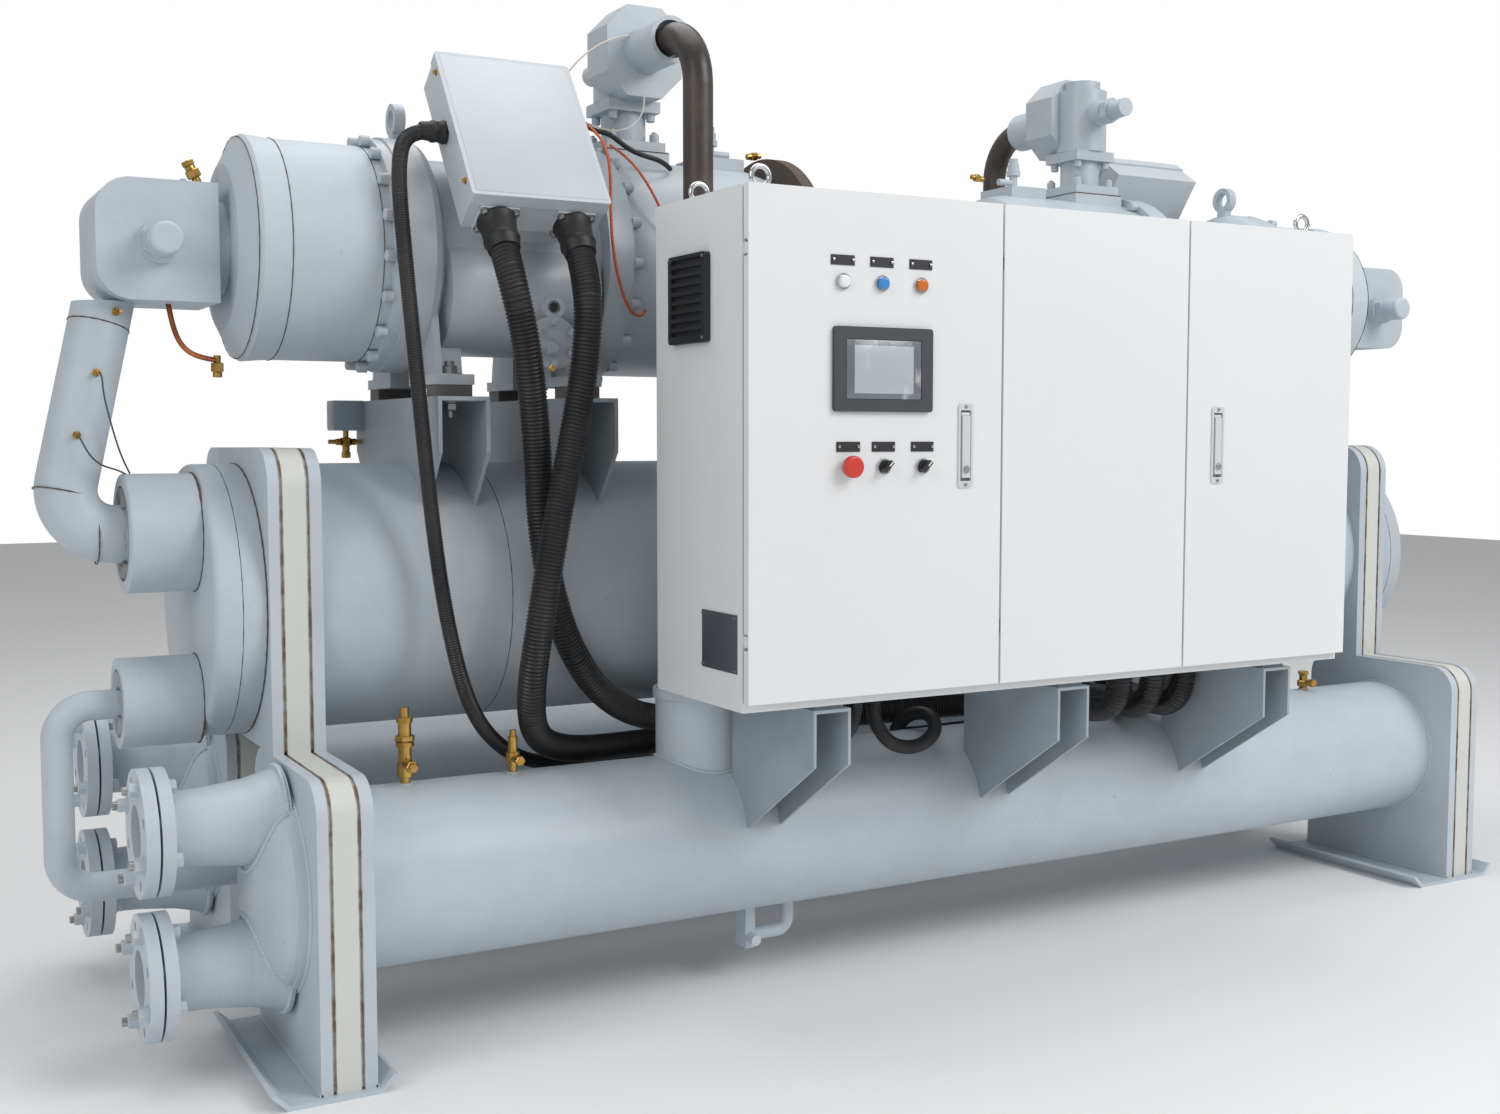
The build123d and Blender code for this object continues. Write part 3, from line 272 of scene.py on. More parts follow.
# One tube along a line, with ribs round it: weld beads here, hoses and pipes further down
rib_tree = node_group("ribbed_tube", [
    ("Radius", "Float", 0.01), ("Pitch", "Float", 0.006), ("Depth", "Float", 0.001), ("Step", "Float", 0.0015),
    ("Sides", "Int", 16), ("Material", "Material", None)])
given = rib_tree.given
line = rib_tree.add("GeometryNodeMeshToCurve", values={"Mesh": given["Geometry"]})
line = rib_tree.add("GeometryNodeResampleCurve", {"mode": "LENGTH"}, {"Curve": line, "Length": given["Step"]})
along = rib_tree.add("GeometryNodeSplineParameter", out="Length")
wave = rib_tree.add("ShaderNodeMath", {"operation": "SINE"}, {0: along / given["Pitch"] * (2 * math.pi)})
line = rib_tree.add("GeometryNodeSetCurveRadius", values={
    "Curve": line, "Radius": given["Radius"] - given["Depth"] * (0.5 - wave * 0.5)})
ring = rib_tree.add("GeometryNodeCurvePrimitiveCircle", values={"Resolution": given["Sides"], "Radius": 1.0})
tube = rib_tree.add("GeometryNodeCurveToMesh", values={"Curve": line, "Profile Curve": ring, "Fill Caps": True})
size_in = tube.socket.node.inputs.get("Scale")
if size_in is not None:
    rib_tree.put(size_in, rib_tree.add("GeometryNodeInputRadius"))
close_group(rib_tree, tube)


def hoop(x, y, z, radius, turn=(1, 0, 0), count=72):
    """Points of a circle round an axis, as a closed line."""
    side = Vector(turn).normalized().to_track_quat("Z", "Y").to_matrix()
    ring = [side @ Vector((math.cos(2 * math.pi * k / count), math.sin(2 * math.pi * k / count), 0)) * radius
            for k in range(count)]
    return [spot(x + p.x, y + p.y, z + p.z) for p in ring], True


def beads(name, lines, radius, pitch, depth, finish, sides=8):
    """Tubes along lines, each line a list of places and whether it closes on itself."""
    places, edges = [], []
    for points, closed in lines:
        first = len(places)
        places += [tuple(p) for p in points]
        edges += [(first + k, first + k + 1) for k in range(len(points) - 1)]
        if closed:
            edges.append((len(places) - 1, first))
    mesh = bpy.data.meshes.new(name + "_line")
    mesh.from_pydata(places, edges, [])
    return apply_group(name, mesh, rib_tree, {
        "Radius": radius, "Pitch": pitch, "Depth": depth, "Step": pitch / 3, "Sides": sides}, finish)


half_len = 1374.0
outer_x = 1471.0
cond_y = 350.0
cond_z = 315.0
cond_r = 165.0
evap_z = 805.0
evap_r = 262.0
beads("shell_welds", [hoop(side * half_len, y, cond_z, cond_r + 1) for side in (-1, 1) for y in (-cond_y, cond_y)],
      0.0045, 0.007, 0.0014, vessel_paint)

# End plates: steel tube plates between foam sheets. A pale strip shows between two blue layers,
# with a brown glue line in each groove.
plate_paint = enamel("plate_paint", "vessel_paint", pale_blue, dusty_blue, 0.14, 1.4, 0.46)
deep = abs(plate_paint.axis("X") - middle.x)
strip = deep.between(1.3995, 1.4475)
glue = deep.between(1.3955, 1.4030) + deep.between(1.4440, 1.4515)
ragged = plate_paint.ramp(plate_paint.noise(38.0, 3.0), 0.42, 0.6)
layers = plate_paint.blend(strip, plate_paint.paint, srgb(208, 210, 205))
plate_paint.set("Base Color", plate_paint.blend(glue * (0.35 + ragged * 0.5), layers, srgb(132, 108, 88)))
dress(plate_paint, "condenser_end_plates", "evaporator_end_plates")
plate_edge_y = 224.0
plate_feet = []
for side in (-1, 1):
    for y in (-cond_y, cond_y):
        for x in (half_len, outer_x):
            plate_feet.append(([spot(side * x, y + share * plate_edge_y, 10) for share in (-1, 0, 1)], False))
beads("foot_welds", plate_feet, 0.004, 0.007, 0.0013, vessel_paint)

# Water boxes: dished heads with two flared nozzles each, welded on. Every nozzle ends in a pair
# of bolted flanges, with four long bolts in the eight holes, a nut on the outer face.
flange_paint = enamel("flange_paint", "vessel_paint", pale_blue, dusty_blue, 0.1, 0.4, 0.42)
dress(flange_paint, "water_flanges")
dish_rim = 14.0
dish_crown = 74.0
dish_r = 175.6
nozzle_rise = 126.5
flange_x = -1722.0
neck_x = -1674.0
bolt_circle = 90.0


def nozzle_root(y, z):
    """The line where one flared nozzle meets the dished head."""
    points = []
    for k in range(64):
        a = 2 * math.pi * k / 64
        out = 30.0
        for step in range(12):
            flare = 96.0 - out * 0.13
            far = math.hypot(z - cond_z + flare * math.sin(a), flare * math.cos(a))
            out = dish_rim + (dish_crown - dish_rim) * math.sqrt(max(0.0, 1 - (far / dish_r) ** 2))
        points.append(spot(-outer_x - out, y + flare * math.cos(a), z + flare * math.sin(a)))
    return points, True


nozzles = [(y, cond_z + rise) for y in (-cond_y, cond_y) for rise in (-nozzle_rise, nozzle_rise)]
beads("nozzle_welds", [nozzle_root(y, z) for y, z in nozzles] + [hoop(neck_x, y, z, 67) for y, z in nozzles],
      0.005, 0.008, 0.0016, vessel_paint)
beads("head_welds", [hoop(side * (outer_x + 1), y, cond_z, 183) for side in (-1, 1) for y in (-cond_y, cond_y)],
      0.0045, 0.008, 0.0014, vessel_paint)
beads("flange_gaskets", [hoop(-1698, y, z, 80) for y, z in nozzles], 0.0018, 0.004, 0.0,
      Finish("gasket_black", "black_plastic", srgb(30, 30, 31), 0.8))

bolt_tree = node_group("bolt_heads", [
    ("Radius", "Float", 0.012), ("Height", "Float", 0.01), ("Washer Radius", "Float", 0.015),
    ("Washer Height", "Float", 0.002), ("Sides", "Int", 6), ("Direction", "Vector", (0, 0, 1)),
    ("Seed", "Int", 7), ("Material", "Material", None)])
given = bolt_tree.given
lift = given["Washer Height"]
head = bolt_tree.add("GeometryNodeMeshCylinder", values={
    "Vertices": given["Sides"], "Radius": given["Radius"], "Depth": given["Height"]})
raised = bolt_tree.add("ShaderNodeCombineXYZ", values={"Z": lift + given["Height"] * 0.5})
head = bolt_tree.add("GeometryNodeTransform", values={"Geometry": head, "Translation": raised})
crown = bolt_tree.add("GeometryNodeMeshCone", values={
    "Vertices": given["Sides"], "Radius Top": given["Radius"] * 0.78, "Radius Bottom": given["Radius"],
    "Depth": given["Height"] * 0.14})
raised = bolt_tree.add("ShaderNodeCombineXYZ", values={"Z": lift + given["Height"]})
crown = bolt_tree.add("GeometryNodeTransform", values={"Geometry": crown, "Translation": raised})
washer = bolt_tree.add("GeometryNodeMeshCylinder", values={
    "Vertices": 20, "Radius": given["Washer Radius"], "Depth": lift})
raised = bolt_tree.add("ShaderNodeCombineXYZ", values={"Z": lift * 0.5})
washer = bolt_tree.add("GeometryNodeTransform", values={"Geometry": washer, "Translation": raised})
bolt = bolt_tree.tree.nodes.new("GeometryNodeJoinGeometry")
for wire in (head, crown, washer):
    bolt_tree.tree.links.new(wire.socket, bolt.inputs[0])
facing = bolt_tree.add("FunctionNodeAlignRotationToVector", {"axis": "Z"}, {"Vector": given["Direction"]})
placed = bolt_tree.add("GeometryNodeInstanceOnPoints", values={
    "Points": given["Geometry"], "Instance": Wire(bolt_tree, bolt.outputs[0]), "Rotation": facing})
chance = bolt_tree.add("FunctionNodeRandomValue", {"data_type": "FLOAT"}, {2: 0.0, 3: 6.28, "Seed": given["Seed"]}, 1)
turned = bolt_tree.add("ShaderNodeCombineXYZ", values={"Z": chance})
placed = bolt_tree.add("GeometryNodeRotateInstances", values={"Instances": placed, "Rotation": turned})
close_group(bolt_tree, placed)


def bolts(name, places, direction, radius, height, washer, finish, sides=6, body="machine"):
    """Bolt heads or nuts on a washer, all facing one way; sizes in millimetres."""
    mesh = bpy.data.meshes.new(name + "_places")
    mesh.from_pydata([tuple(p) for p in places], [], [])
    return apply_group(name, mesh, bolt_tree, {
        "Radius": radius / 1000, "Height": height / 1000, "Washer Radius": washer / 1000,
        "Washer Height": 0.0025, "Sides": sides, "Direction": tuple(direction)}, finish, body)


def lathe(bm, profile, sides, turn):
    """A closed turned shape: the profile gives heights along the axis and radii, in millimetres."""
    rings = []
    for height, radius in profile:
        corner = [2 * math.pi * k / sides for k in range(sides)]
        rings.append([bm.verts.new(turn @ (Vector((radius * math.cos(a), radius * math.sin(a), height)) / 1000))
                      for a in corner])
    for low, high in zip(rings, rings[1:]):
        for k in range(sides):
            bm.faces.new((low[k], low[(k + 1) % sides], high[(k + 1) % sides], high[k]))
    bm.faces.new(list(reversed(rings[0])))
    bm.faces.new(rings[-1])


def along_axis(place, direction):
    turn = Vector(direction).to_track_quat("Z", "Y").to_matrix().to_4x4()
    turn.translation = place
    return turn


def fitting(name, parts, finish, body="machine"):
    """Turned and hexagon steps on an axis, each step its length, radius and number of sides."""
    bm = bmesh.new()
    for place, direction, steps in parts:
        turn = along_axis(place, direction)
        start = 0.0
        for length, radius, sides in steps:
            edge = min(length, radius) * 0.14
            lathe(bm, [(start, radius - edge), (start + edge, radius), (start + length - edge, radius),
                       (start + length, radius - edge)], sides, turn)
            start += length
    return finish_mesh(name, bm, finish, body)


zinc = Finish("zinc_plate", "chrome", srgb(170, 172, 172), 0.34, 1.0)
zinc.set("Base Color", zinc.blend(zinc.noise(60.0, 3.0), srgb(150, 152, 150), srgb(190, 191, 190)))
flange_angles = [math.radians(a) for a in (22.5, 112.5, 202.5, 292.5)]
bolt_spots = [(y + bolt_circle * math.cos(a), z + bolt_circle * math.sin(a)) for y, z in nozzles for a in flange_angles]
bolts("flange_nuts", [spot(flange_x, y, z) for y, z in bolt_spots], (-1, 0, 0), 13.5, 13, 15, flange_paint)
bolts("flange_bolt_heads", [spot(neck_x, y, z) for y, z in bolt_spots], (1, 0, 0), 13.5, 10, 15, flange_paint)
fitting("flange_bolt_ends", [(spot(flange_x - 10, y, z), (-1, 0, 0), [(16, 7.8, 14)]) for y, z in bolt_spots], zinc)

# Evaporator and its headers: steel wrapped in foam sheet and painted over, so it is softer than
# the bare shells. The sheets end in glued seams, and the foam round the stubs is cut by hand.
foam_paint = enamel("foam_paint", "vessel_insulation", srgb(190, 200, 207), srgb(177, 187, 195), 0.2, 2.4, 0.52)
wrinkle = foam_paint.noise(21.0, 4.0, stretch=(0.35, 1.0, 1.0), rough=0.55)
foam_paint.bump(foam_paint.noise(190.0, 1.0) * 0.2 + foam_paint.noise(5.0, 2.0) * 3.0 + wrinkle * 0.9, 0.0012)
dress(foam_paint, "evaporator_shell", "evaporator_headers", "suction_pipes", "liquid_lines", "motor_housings",
      "suction_valves")
seam_brown = Finish("seam_brown", "dark_foam", srgb(74, 66, 62), 0.8)
seam_brown.set("Base Color", seam_brown.blend(seam_brown.noise(30.0, 3.0), srgb(58, 52, 50), srgb(112, 98, 88)))
stub_x = -1564.0
glue_lines = [hoop(stub_x, -65, 940, 111.5), hoop(stub_x, -65, 625, 84.5), hoop(-outer_x - 1, 0, evap_z, 262)]
glue_lines += [hoop(-stub_x, 65, 940, 111.5), hoop(-stub_x, 65, 625, 84.5), hoop(outer_x + 1, 0, evap_z, 262)]
beads("stub_seams", glue_lines, 0.0022, 0.03, 0.0008, seam_brown)
beads("sheet_seams", [hoop(x, 0, evap_z, evap_r - 0.2, count=120) for x in (-1000, -520, -20, 480, 980)]
      + [hoop(side * 1515, 0, evap_z, 261.6, count=120) for side in (-1, 1)], 0.0011, 0.05, 0.0004, seam_brown)
collar_paint = enamel("cut_foam", "vessel_insulation", srgb(172, 182, 189), srgb(112, 104, 98), 0.3, 1.0, 0.7)


def torn_ring(bm, x, y, z, inner, outer, seed):
    """The hand-cut foam collar between a stub and the pipe that leaves it."""
    count = 60
    rings = []
    for depth, radius, wild in ((8, outer, 0), (-3, outer - 5, 3), (-2, inner + 4, 7), (12, inner - 2, 0)):
        ring = []
        for k in range(count):
            a = 2 * math.pi * k / count
            rough = wild * (math.sin(5 * a + seed) + math.sin(11 * a + 2 * seed) * 0.6 + math.sin(23 * a) * 0.4)
            r = radius + rough
            ring.append(bm.verts.new(spot(x + depth + 0.4 * rough, y + r * math.cos(a), z + r * math.sin(a))))
        rings.append(ring)
    for low, high in zip(rings, rings[1:] + rings[:1]):
        for k in range(count):
            bm.faces.new((low[k], low[(k + 1) % count], high[(k + 1) % count], high[k]))


bm = bmesh.new()
torn_ring(bm, -1688, -65, 940, 60, 88, 1.0)
torn_ring(bm, -1703, -65, 625, 32, 63, 2.4)
bmesh.ops.recalc_face_normals(bm, faces=bm.faces)
finish_mesh("stub_collars", bm, collar_paint)

# Suction and liquid pipes: copper inside the same painted foam, joined with glue at the bends.
# Two brass pockets with sensor leads, and a capped valve, sit on the left suction pipe.
pipe_foot = Vector((-1803, -65, 940))
pipe_head = Vector((-1690, 0, 1422))
pipe_way = (pipe_head - pipe_foot).normalized()
elbow_seam = pipe_foot + pipe_way * 78
top_seam = pipe_foot + pipe_way * 398
beads("pipe_seams", [hoop(*elbow_seam, 54.2, pipe_way), hoop(*top_seam, 54.2, pipe_way),
                     hoop(-1735, -65, 940, 54.2)], 0.0016, 0.02, 0.0006, seam_brown)
brass = Finish("brass", "brass", srgb(196, 158, 88), 0.3, 1.0)
painted_low = brass.axis("Z") < 0.3
brass.set("Base Color", brass.blend(painted_low, brass.blend(
    brass.ramp(brass.noise(40.0, 3.0), 0.35, 0.7), srgb(205, 168, 96), srgb(172, 132, 66)), pale_blue))
brass.set("Metallic", 1.0 - painted_low)
brass.set("Roughness", 0.28 + painted_low * 0.2)
dress(brass, "charging_valves")


def on_pipe(share, turn):
    """A place on the front of the left suction pipe and the way out of it there."""
    out = Vector((math.sin(turn), -math.cos(turn), 0))
    out = (out - pipe_way * out.dot(pipe_way)).normalized()
    at = pipe_foot.lerp(pipe_head, share) + out * 52
    return at, out


pockets = []
for share, turn in ((0.84, 0.35), (0.6, 0.1), (0.36, -0.1)):
    at, out = on_pipe(share, turn)
    pockets.append((at, out))
fitting("pipe_pockets", [(spot(*at), out, [(7, 7, 16), (6, 6.2, 6), (9, 3.4, 12)]) for at, out in pockets], brass)

# Compressor saddles and cabinet brackets: folded channels of 8 and 6 mm plate in the same
# enamel, welded to the shells. Their colour is set darker than the vessels' as painted shade, and rubber lies under
# each compressor foot.
# Painted shade: darker copy of the vessel enamel for the saddles, brackets and junction block.
channel_paint = enamel("channel_paint", "bracket_paint", srgb(166, 176, 183), srgb(146, 156, 163), 0.2, 0.5, 0.48)
pad_zone = channel_paint.axis("Z").between(1.1965, 1.2195)
channel_paint.set("Base Color", channel_paint.blend(pad_zone, channel_paint.paint, srgb(104, 98, 96)))
dress(channel_paint, "compressor_saddles", "cabinet_brackets")
saddle_xs = (-1099.0, -830.0)
mount_y = 190.0
mount_spots = [(side * x, y) for side in (1, -1) for x in saddle_xs for y in (-mount_y, mount_y)]
bolts("mount_bolts", [spot(x, y, 1240) for x, y in mount_spots], (0, 0, 1), 16, 13, 24, zinc)
fitting("mount_bolt_ends", [(spot(x, y, 1250), (0, 0, 1), [(16, 9.6, 16)]) for x, y in mount_spots]
        + [(spot(x, y, 1188), (0, 0, -1), [(3, 20, 20), (15, 16, 6), (14, 9.6, 16)]) for x, y in mount_spots], zinc)


def block(bm, low, high, edge, turn=None):
    """A box between two corners in millimetres, with its edges rounded."""
    low, high = Vector(low), Vector(high)
    size = (high - low) / 1000
    if turn is None:
        place = Matrix.Translation((spot(*low) + spot(*high)) / 2)
    else:
        place = turn @ Matrix.Translation((low + high) / 2000)
    made = bmesh.ops.create_cube(bm, size=1.0, matrix=place @ Matrix.Diagonal((*size, 1.0)))["verts"]
    edges = list({e for v in made for e in v.link_edges})
    bmesh.ops.bevel(bm, geom=edges, offset=edge / 1000, segments=2, profile=0.5, affect="EDGES")


bm = bmesh.new()
block(bm, (-1217, 214, 1133), (-1150, 268, 1197), 2.5)
block(bm, (-1218.5, 220, 1139), (-1216, 262, 1191), 0.8)
finish_mesh("terminal_junction", bm, channel_paint)
fitting("junction_valve", [
    (spot(-1184, 241, 1134), (0, 0, -1), [(16, 6, 14), (18, 12, 6), (12, 8, 14), (14, 10, 6)]),
    (spot(-1196, 241, 1109), (-1, 0, 0), [(10, 8, 6), (16, 5, 14)]),
    (spot(-1172, 241, 1109), (1, 0, 0), [(10, 8, 6), (16, 5, 14)])], brass)

# Motor ends and castings: the motor is wrapped in foam, the rotor casing, oil separator and
# valves are bare cast iron under the enamel. Socket screws hold the casing flanges.
cast_paint = enamel("cast_paint", "vessel_paint", srgb(188, 197, 204), srgb(172, 181, 188), 0.7, 0.5, 0.33)
grain = cast_paint.noise(120.0, 3.0, rough=0.7)
cast_paint.bump(grain * 0.5 + cast_paint.noise(9.0, 3.0) * 0.8, 0.0009)
dress(cast_paint, "rotor_housings", "oil_separators", "discharge_valves")
comp_z = 1481.0
joint_1 = -1212.0
joint_2 = -760.0
sides_of = (1, -1)


def round_axis(x, radius, count, first=0.0):
    """Places round the compressor's axis, on both compressors."""
    return [(x, radius * math.cos(first + 2 * math.pi * k / count),
             comp_z + radius * math.sin(first + 2 * math.pi * k / count)) for k in range(count)]


for label, side in (("left", 1), ("right", -1)):
    screws = [spot(side * x, side * y, z) for x, y, z in round_axis(joint_1, 223.5, 18, 0.1)]
    bolts(label + "_motor_screws", screws, (-side, 0, 0), 11, 15, 11.2, cast_paint, 18)
    screws = [spot(side * x, side * y, z) for x, y, z in round_axis(-726, 240.5, 18, 0.05)]
    bolts(label + "_separator_screws", screws, (side, 0, 0), 11, 16, 11.2, cast_paint, 18)
beads("motor_seams", [hoop(side * x, 0, comp_z, r, count=120) for side in sides_of
                      for x, r in ((-1400, 212.6), (-1461, 211.0), (-1230, 212.4))], 0.0011, 0.04, 0.0004, seam_brown)
port_x = -897.0
port_z = 1305.0
port_y = -230.0
glass_x = -895.0
glass_z = 1375.0
cover_screws = [(port_x + 41 * math.cos(a), port_z + 41 * math.sin(a))
                for a in (math.radians(90 + 60 * k) for k in range(6))]
for label, side in (("left", 1), ("right", -1)):
    bolts(label + "_port_screws", [spot(side * x, side * port_y, z) for x, z in cover_screws],
          (0, -side, 0), 7.5, 9, 7.8, cast_paint, 16)
fitting("port_plugs", [(spot(side * x, side * port_y, z), (0, -side, 0), steps) for side in sides_of
                       for x, z, steps in ((port_x - 6, port_z - 10, [(4, 17, 24), (13, 13.5, 6)]),
                                           (port_x + 62, port_z + 18, [(4, 14, 20), (10, 11, 6)]))], cast_paint)
fitting("glass_rings", [(spot(side * glass_x, side * -224, glass_z), (0, -side, 0), [(3, 12.6, 24)])
                        for side in sides_of], zinc)
glass = Finish("sight_glass", "lamp_lens", srgb(58, 62, 60), 0.06, coat=1.0)
fitting("sight_glasses", [(spot(side * glass_x, side * -226.5, glass_z), (0, -side, 0), [(3, 9.5, 24)])
                          for side in sides_of], glass)
fitting("casing_brass", [
    (spot(side * x, side * y, z), (side * dx, side * dy, dz), steps) for side in sides_of
    for (x, y, z), (dx, dy, dz), steps in (
        ((-1527, -8, 1598), (-0.45, 0, 0.9), [(12, 8, 14), (16, 14, 6), (8, 10, 16), (10, 12, 6)]),
        ((-1500, -10, 1275), (0, 0, -1), [(14, 7, 14), (18, 12, 6), (10, 9, 16)]),
        ((-900, -218, 1258), (0, -1, -0.2), [(6, 6, 14), (10, 8, 6)]),
        ((-331, 0, 1748), (1, 0, 0.12), [(12, 7, 14), (14, 9.5, 6), (10, 6, 14)]),
        ((-616, -40, 2006), (0, 0, 1), [(4, 5, 12), (7, 6.5, 6)]))], brass)
fitting("lead_lugs", [(spot(side * -934, side * -198, 1388), (0, -side, 0.15), [(14, 7, 14), (9, 5, 12)])
                      for side in sides_of], cast_paint)
copper = Finish("copper_line", "brass", srgb(190, 112, 74), 0.3, 1.0)
copper.set("Base Color", copper.blend(copper.ramp(copper.noise(24.0, 4.0), 0.35, 0.68),
                                      srgb(196, 116, 76), srgb(132, 82, 56)))


def smooth_line(points):
    """Points along the NURBS line that has the route's points as its controls."""
    data = bpy.data.curves.new("route", "CURVE")
    data.dimensions = "3D"
    data.resolution_u = 12
    spline = data.splines.new("NURBS")
    spline.points.add(len(points) - 1)
    for point, place in zip(spline.points, points):
        point.co = (*place, 1.0)
    spline.order_u = 3
    spline.use_endpoint_u = True
    holder = bpy.data.objects.new("route", data)
    bpy.context.scene.collection.objects.link(holder)
    bpy.context.view_layer.update()
    graph = bpy.context.evaluated_depsgraph_get()
    mesh = bpy.data.meshes.new_from_object(holder.evaluated_get(graph))
    path = [vertex.co.copy() for vertex in mesh.vertices]
    bpy.data.objects.remove(holder)
    return mesh, path


for label, side in (("left", 1), ("right", -1)):
    drain = [(-1590, -22, 1372), (-1584, -22, 1330), (-1568, -22, 1290), (-1540, -22, 1270), (-1506, -16, 1266)]
    mesh, path = smooth_line([spot(side * x, side * y, z) for x, y, z in drain])
    apply_group(label + "_copper_line", mesh, rib_tree, {
        "Radius": 0.005, "Pitch": 0.01, "Depth": 0.0, "Step": 0.006, "Sides": 14}, copper)

# Suction and discharge valves: cast bodies with hexagon stem caps. Long studs hold the square
# flanges of the discharge column, and a small lug stands on the suction valve.
lugs = bmesh.new()
for side in sides_of:
    for low, high in (((-1580, -18, 1586), (-1542, 18, 1600)), ((-1560, -10, 1598), (-1548, 10, 1606))):
        xs = sorted((side * low[0], side * high[0]))
        block(lugs, (xs[0], low[1], low[2]), (xs[1], high[1], high[2]), 3)
finish_mesh("valve_lugs", lugs, foam_paint)
column_x = -636.0
column_base = 1725.0
for label, side in (("left", 1), ("right", -1)):
    corners = [(column_x + a * 50, b * 50) for a in (-1, 1) for b in (-1, 1)]
    bolts(label + "_column_screws", [spot(side * x, y, column_base + 22) for x, y in corners], (0, 0, 1),
          10.5, 15, 11, cast_paint, 18)
    corners = [(column_x + a * 44, b * 44) for a in (-1, 1) for b in (-1, 1)]
    bolts(label + "_neck_screws", [spot(side * x, y, 1810) for x, y in corners], (0, 0, -1), 9.5, 13, 10,
          cast_paint, 18)
    face = [(column_x + 66 * math.cos(a), 1924 + 72 * math.sin(a)) for a in (0.62, 2.52, 3.76, 5.66)]
    bolts(label + "_valve_screws", [spot(side * x, side * -8, z) for x, z in face], (0, side, 0), 9, 11, 11,
          cast_paint)
fitting("column_studs", [(spot(side * column_x + a * 50, b * 50, column_base + 36), (0, 0, 1), [(10, 5.4, 12)])
                         for side in sides_of for a in (-1, 1) for b in (-1, 1)], zinc)
beads("column_gaskets", [([spot(side * column_x + a * 74.4, b * 74.4, column_base) for a, b in
                           ((-1, -1), (1, -1), (1, 1), (-1, 1))], True) for side in sides_of],
      0.0012, 0.02, 0.0, seam_brown)

# Separator end cover: a disc of dark foam sheet, cut by hand, behind the left compressor only.
dark_foam = Finish("dark_foam", "dark_foam", srgb(84, 72, 66), 0.85)
dark_foam.set("Base Color", dark_foam.blend(dark_foam.noise(12.0, 4.0), srgb(66, 58, 55), srgb(104, 88, 78)))
dark_foam.bump(dark_foam.noise(160.0, 3.0), 0.0006)
dress(dark_foam, "separator_end_cover")

# Discharge pipes: bare steel pipe, browned by heat, from the valve down into the stub on each
# condenser, with a weld at both ends.
hot_pipe = Finish("hot_pipe", "dark_steel", srgb(58, 52, 50), 0.42)
stain = hot_pipe.ramp(hot_pipe.noise(14.0, 4.0), 0.35, 0.7)
scuffs = hot_pipe.ramp(hot_pipe.noise(130.0, 4.0, rough=0.7), 0.7, 0.78)
hot_pipe.set("Base Color", hot_pipe.blend(scuffs * 0.5, hot_pipe.blend(stain, srgb(50, 45, 44), srgb(80, 68, 61)),
                                          srgb(158, 150, 140)))
hot_pipe.set("Roughness", 0.34 + stain * 0.16)
hot_pipe.bump(hot_pipe.noise(90.0, 2.0), 0.0004)
dress(hot_pipe, "discharge_pipes")
stub_welds = []
for side in sides_of:
    ring = []
    for k in range(72):
        a = 2 * math.pi * k / 72
        dy = 89.5 * math.sin(a)
        ring.append(spot(side * column_x + 89.5 * math.cos(a), side * -cond_y + dy,
                         cond_z + math.sqrt(cond_r ** 2 - dy ** 2) + 1))
    stub_welds.append((ring, True))
    stub_welds.append(hoop(side * column_x, side * -cond_y, 607, 31))
beads("discharge_welds", stub_welds, 0.0045, 0.008, 0.0014, vessel_paint)

# Terminal boxes: folded steel with an overlapping lid, leaning back on the casting. Two flanged
# glands with rubber boots point down the box, and a third leaves its side.
box_paint = enamel("box_paint", "vessel_paint", srgb(196, 203, 208), srgb(189, 196, 201), 0.1, 0.3, 0.4)
dress(box_paint, "terminal_boxes")
tilt = math.radians(35.0)
box_x = -1106.0
box_width = 281.0
box_len = 366.0
lid_up = Vector((0, math.sin(tilt), math.cos(tilt)))
lid_out = Vector((0, -math.cos(tilt), math.sin(tilt)))
lid_foot = Vector((0, -144.0, 1866.0)) - lid_up * box_len
gland_depth = 61.5
gland_xs = [box_x + box_width * share for share in (0.225, 0.775)]
power_radius = 0.028
control_radius = 0.015
rubber = Finish("rubber_black", "black_plastic", srgb(30, 30, 32), 0.5)
rubber.bump(rubber.noise(300.0, 2.0), 0.0002)


def turned_round(point, side):
    return Vector((side * point.x, side * point.y, point.z))


